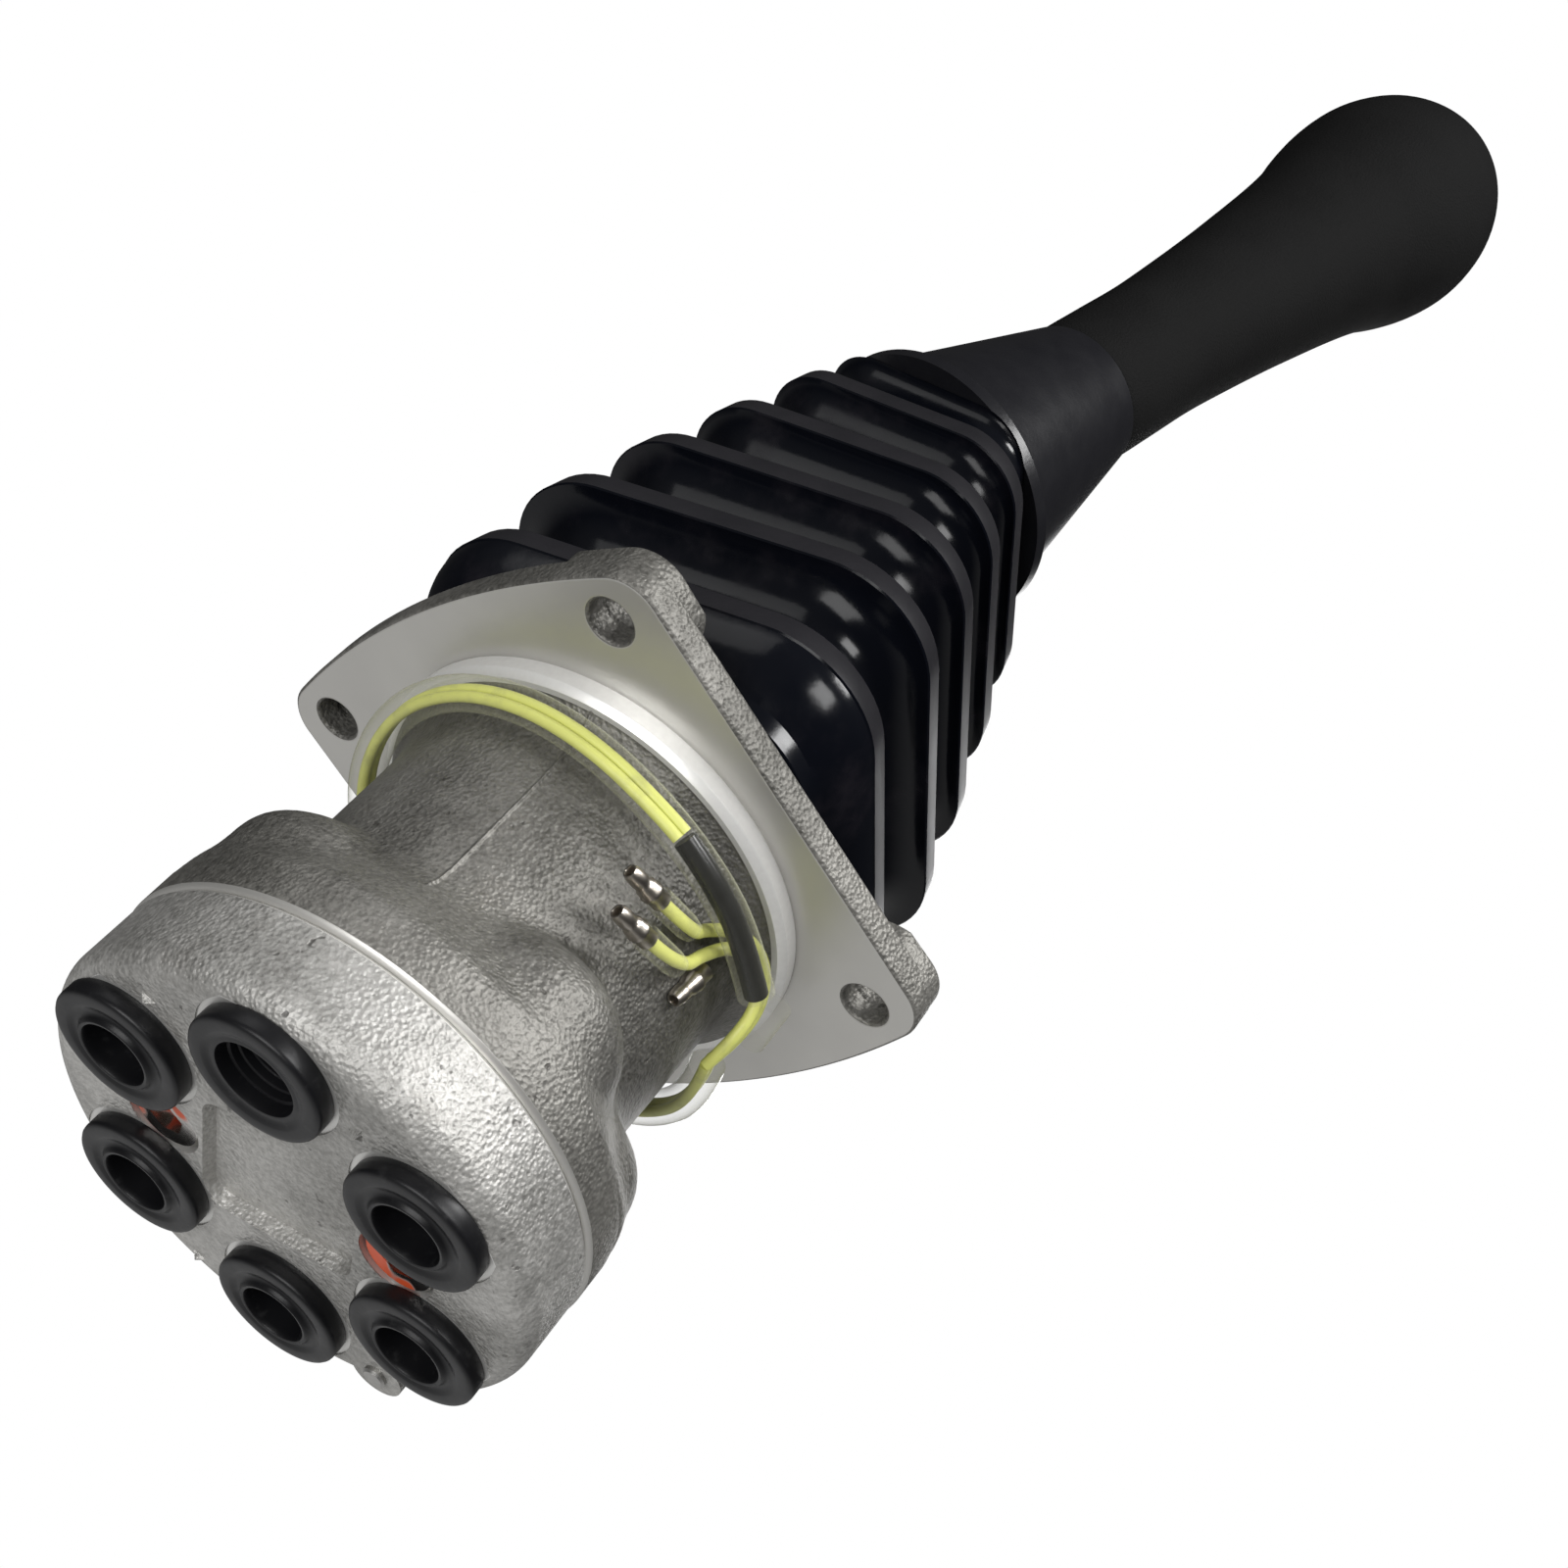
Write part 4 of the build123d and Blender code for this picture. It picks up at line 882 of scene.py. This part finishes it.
shade(place, {"Base Color": blend_colour(tarnish, (0.62, 0.58, 0.52), (0.36, 0.32, 0.27)),
              "Metallic": 1.0, "Roughness": 0.2 + tarnish * 0.25})

sleeve_points = [around(*stop) for stop in sleeve_route]
sleeve = wire_curve("vinyl_sleeve", sleeve_points, sleeve_radius, vinyl)
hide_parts("harness_sleeve")
cable = wire_curve("black_cable", sleeve_points[:3] + [around(*cable_end)], cable_radius,
                   cable_black)
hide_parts("harness_cable")
sleeved = [around(*wires_start)] + sleeve_points[3:-1] + [around(*wires_end)]
pair_points = [around(*stop) for stop in pair_route]
bullet_profile = (
    (0.0, 1.3), (0.15, 1.75), (2.3, 1.75), (2.6, 2.0), (3.3, 2.08), (3.6, 1.9), (4.7, 1.86),
    (5.1, 1.6), (5.9, 1.45), (6.2, 1.58), (7.4, 1.55), (8.5, 1.4), (8.95, 1.2), (8.95, 0.95),
    (8.7, 0.85), (6.6, 0.85), (6.5, 0.1))
insulator_profile = ((-8.4, 1.3), (-8.4, 1.9), (-6.5, 2.25), (-1.0, 2.3), (1.0, 2.3), (1.0, 2.1))
bullet_lines = (
    ("lower", around(-77, 40.7, 27.5), around(-95, 42.7, 32.5), insulator_length),
    ("upper", around(-80.5, 40.7, 21.6), around(-97.5, 42.7, 25.8), insulator_length),
    ("cable", around(-65.5, 37.1, 19.2), around(-68, 37.1, 32.0), 0.0))
for side, name in ((1, "lower"), (-1, "upper")):
    inner = wire_curve("sleeved_wire_" + name, beside_route(sleeved, [1.04 * side] * len(sleeved)),
                       wire_radius, wire_yellow)
    bare_points = beside_route(pair_points, [side * d for d in pair_spread])[:-1]
    _, strand_end, tip, covered = bullet_lines[0 if side > 0 else 1]
    crimp = strand_end + (tip - strand_end).normalized() * covered * mm
    bare = wire_curve("bare_wire_" + name, bare_points + [strand_end, crimp], strand_radius,
                      wire_yellow)
    if side > 0:
        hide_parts("harness_wires")
for name, strand_end, tip, covered in bullet_lines:
    along = tip - strand_end
    crimp = strand_end + along.normalized() * covered * mm
    bullet = turned("bullet_" + name, bullet_profile, crimp, along, tinned, count=40)
    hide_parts("bullet_connectors")
    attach(bullet, "valve_body")
    if covered:
        cover = turned("insulator_" + name, insulator_profile, crimp, along, vinyl, count=40)
        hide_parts("connector_sleeves")
        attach(cover, "valve_body")
dress(vinyl, "outlet_sleeve")
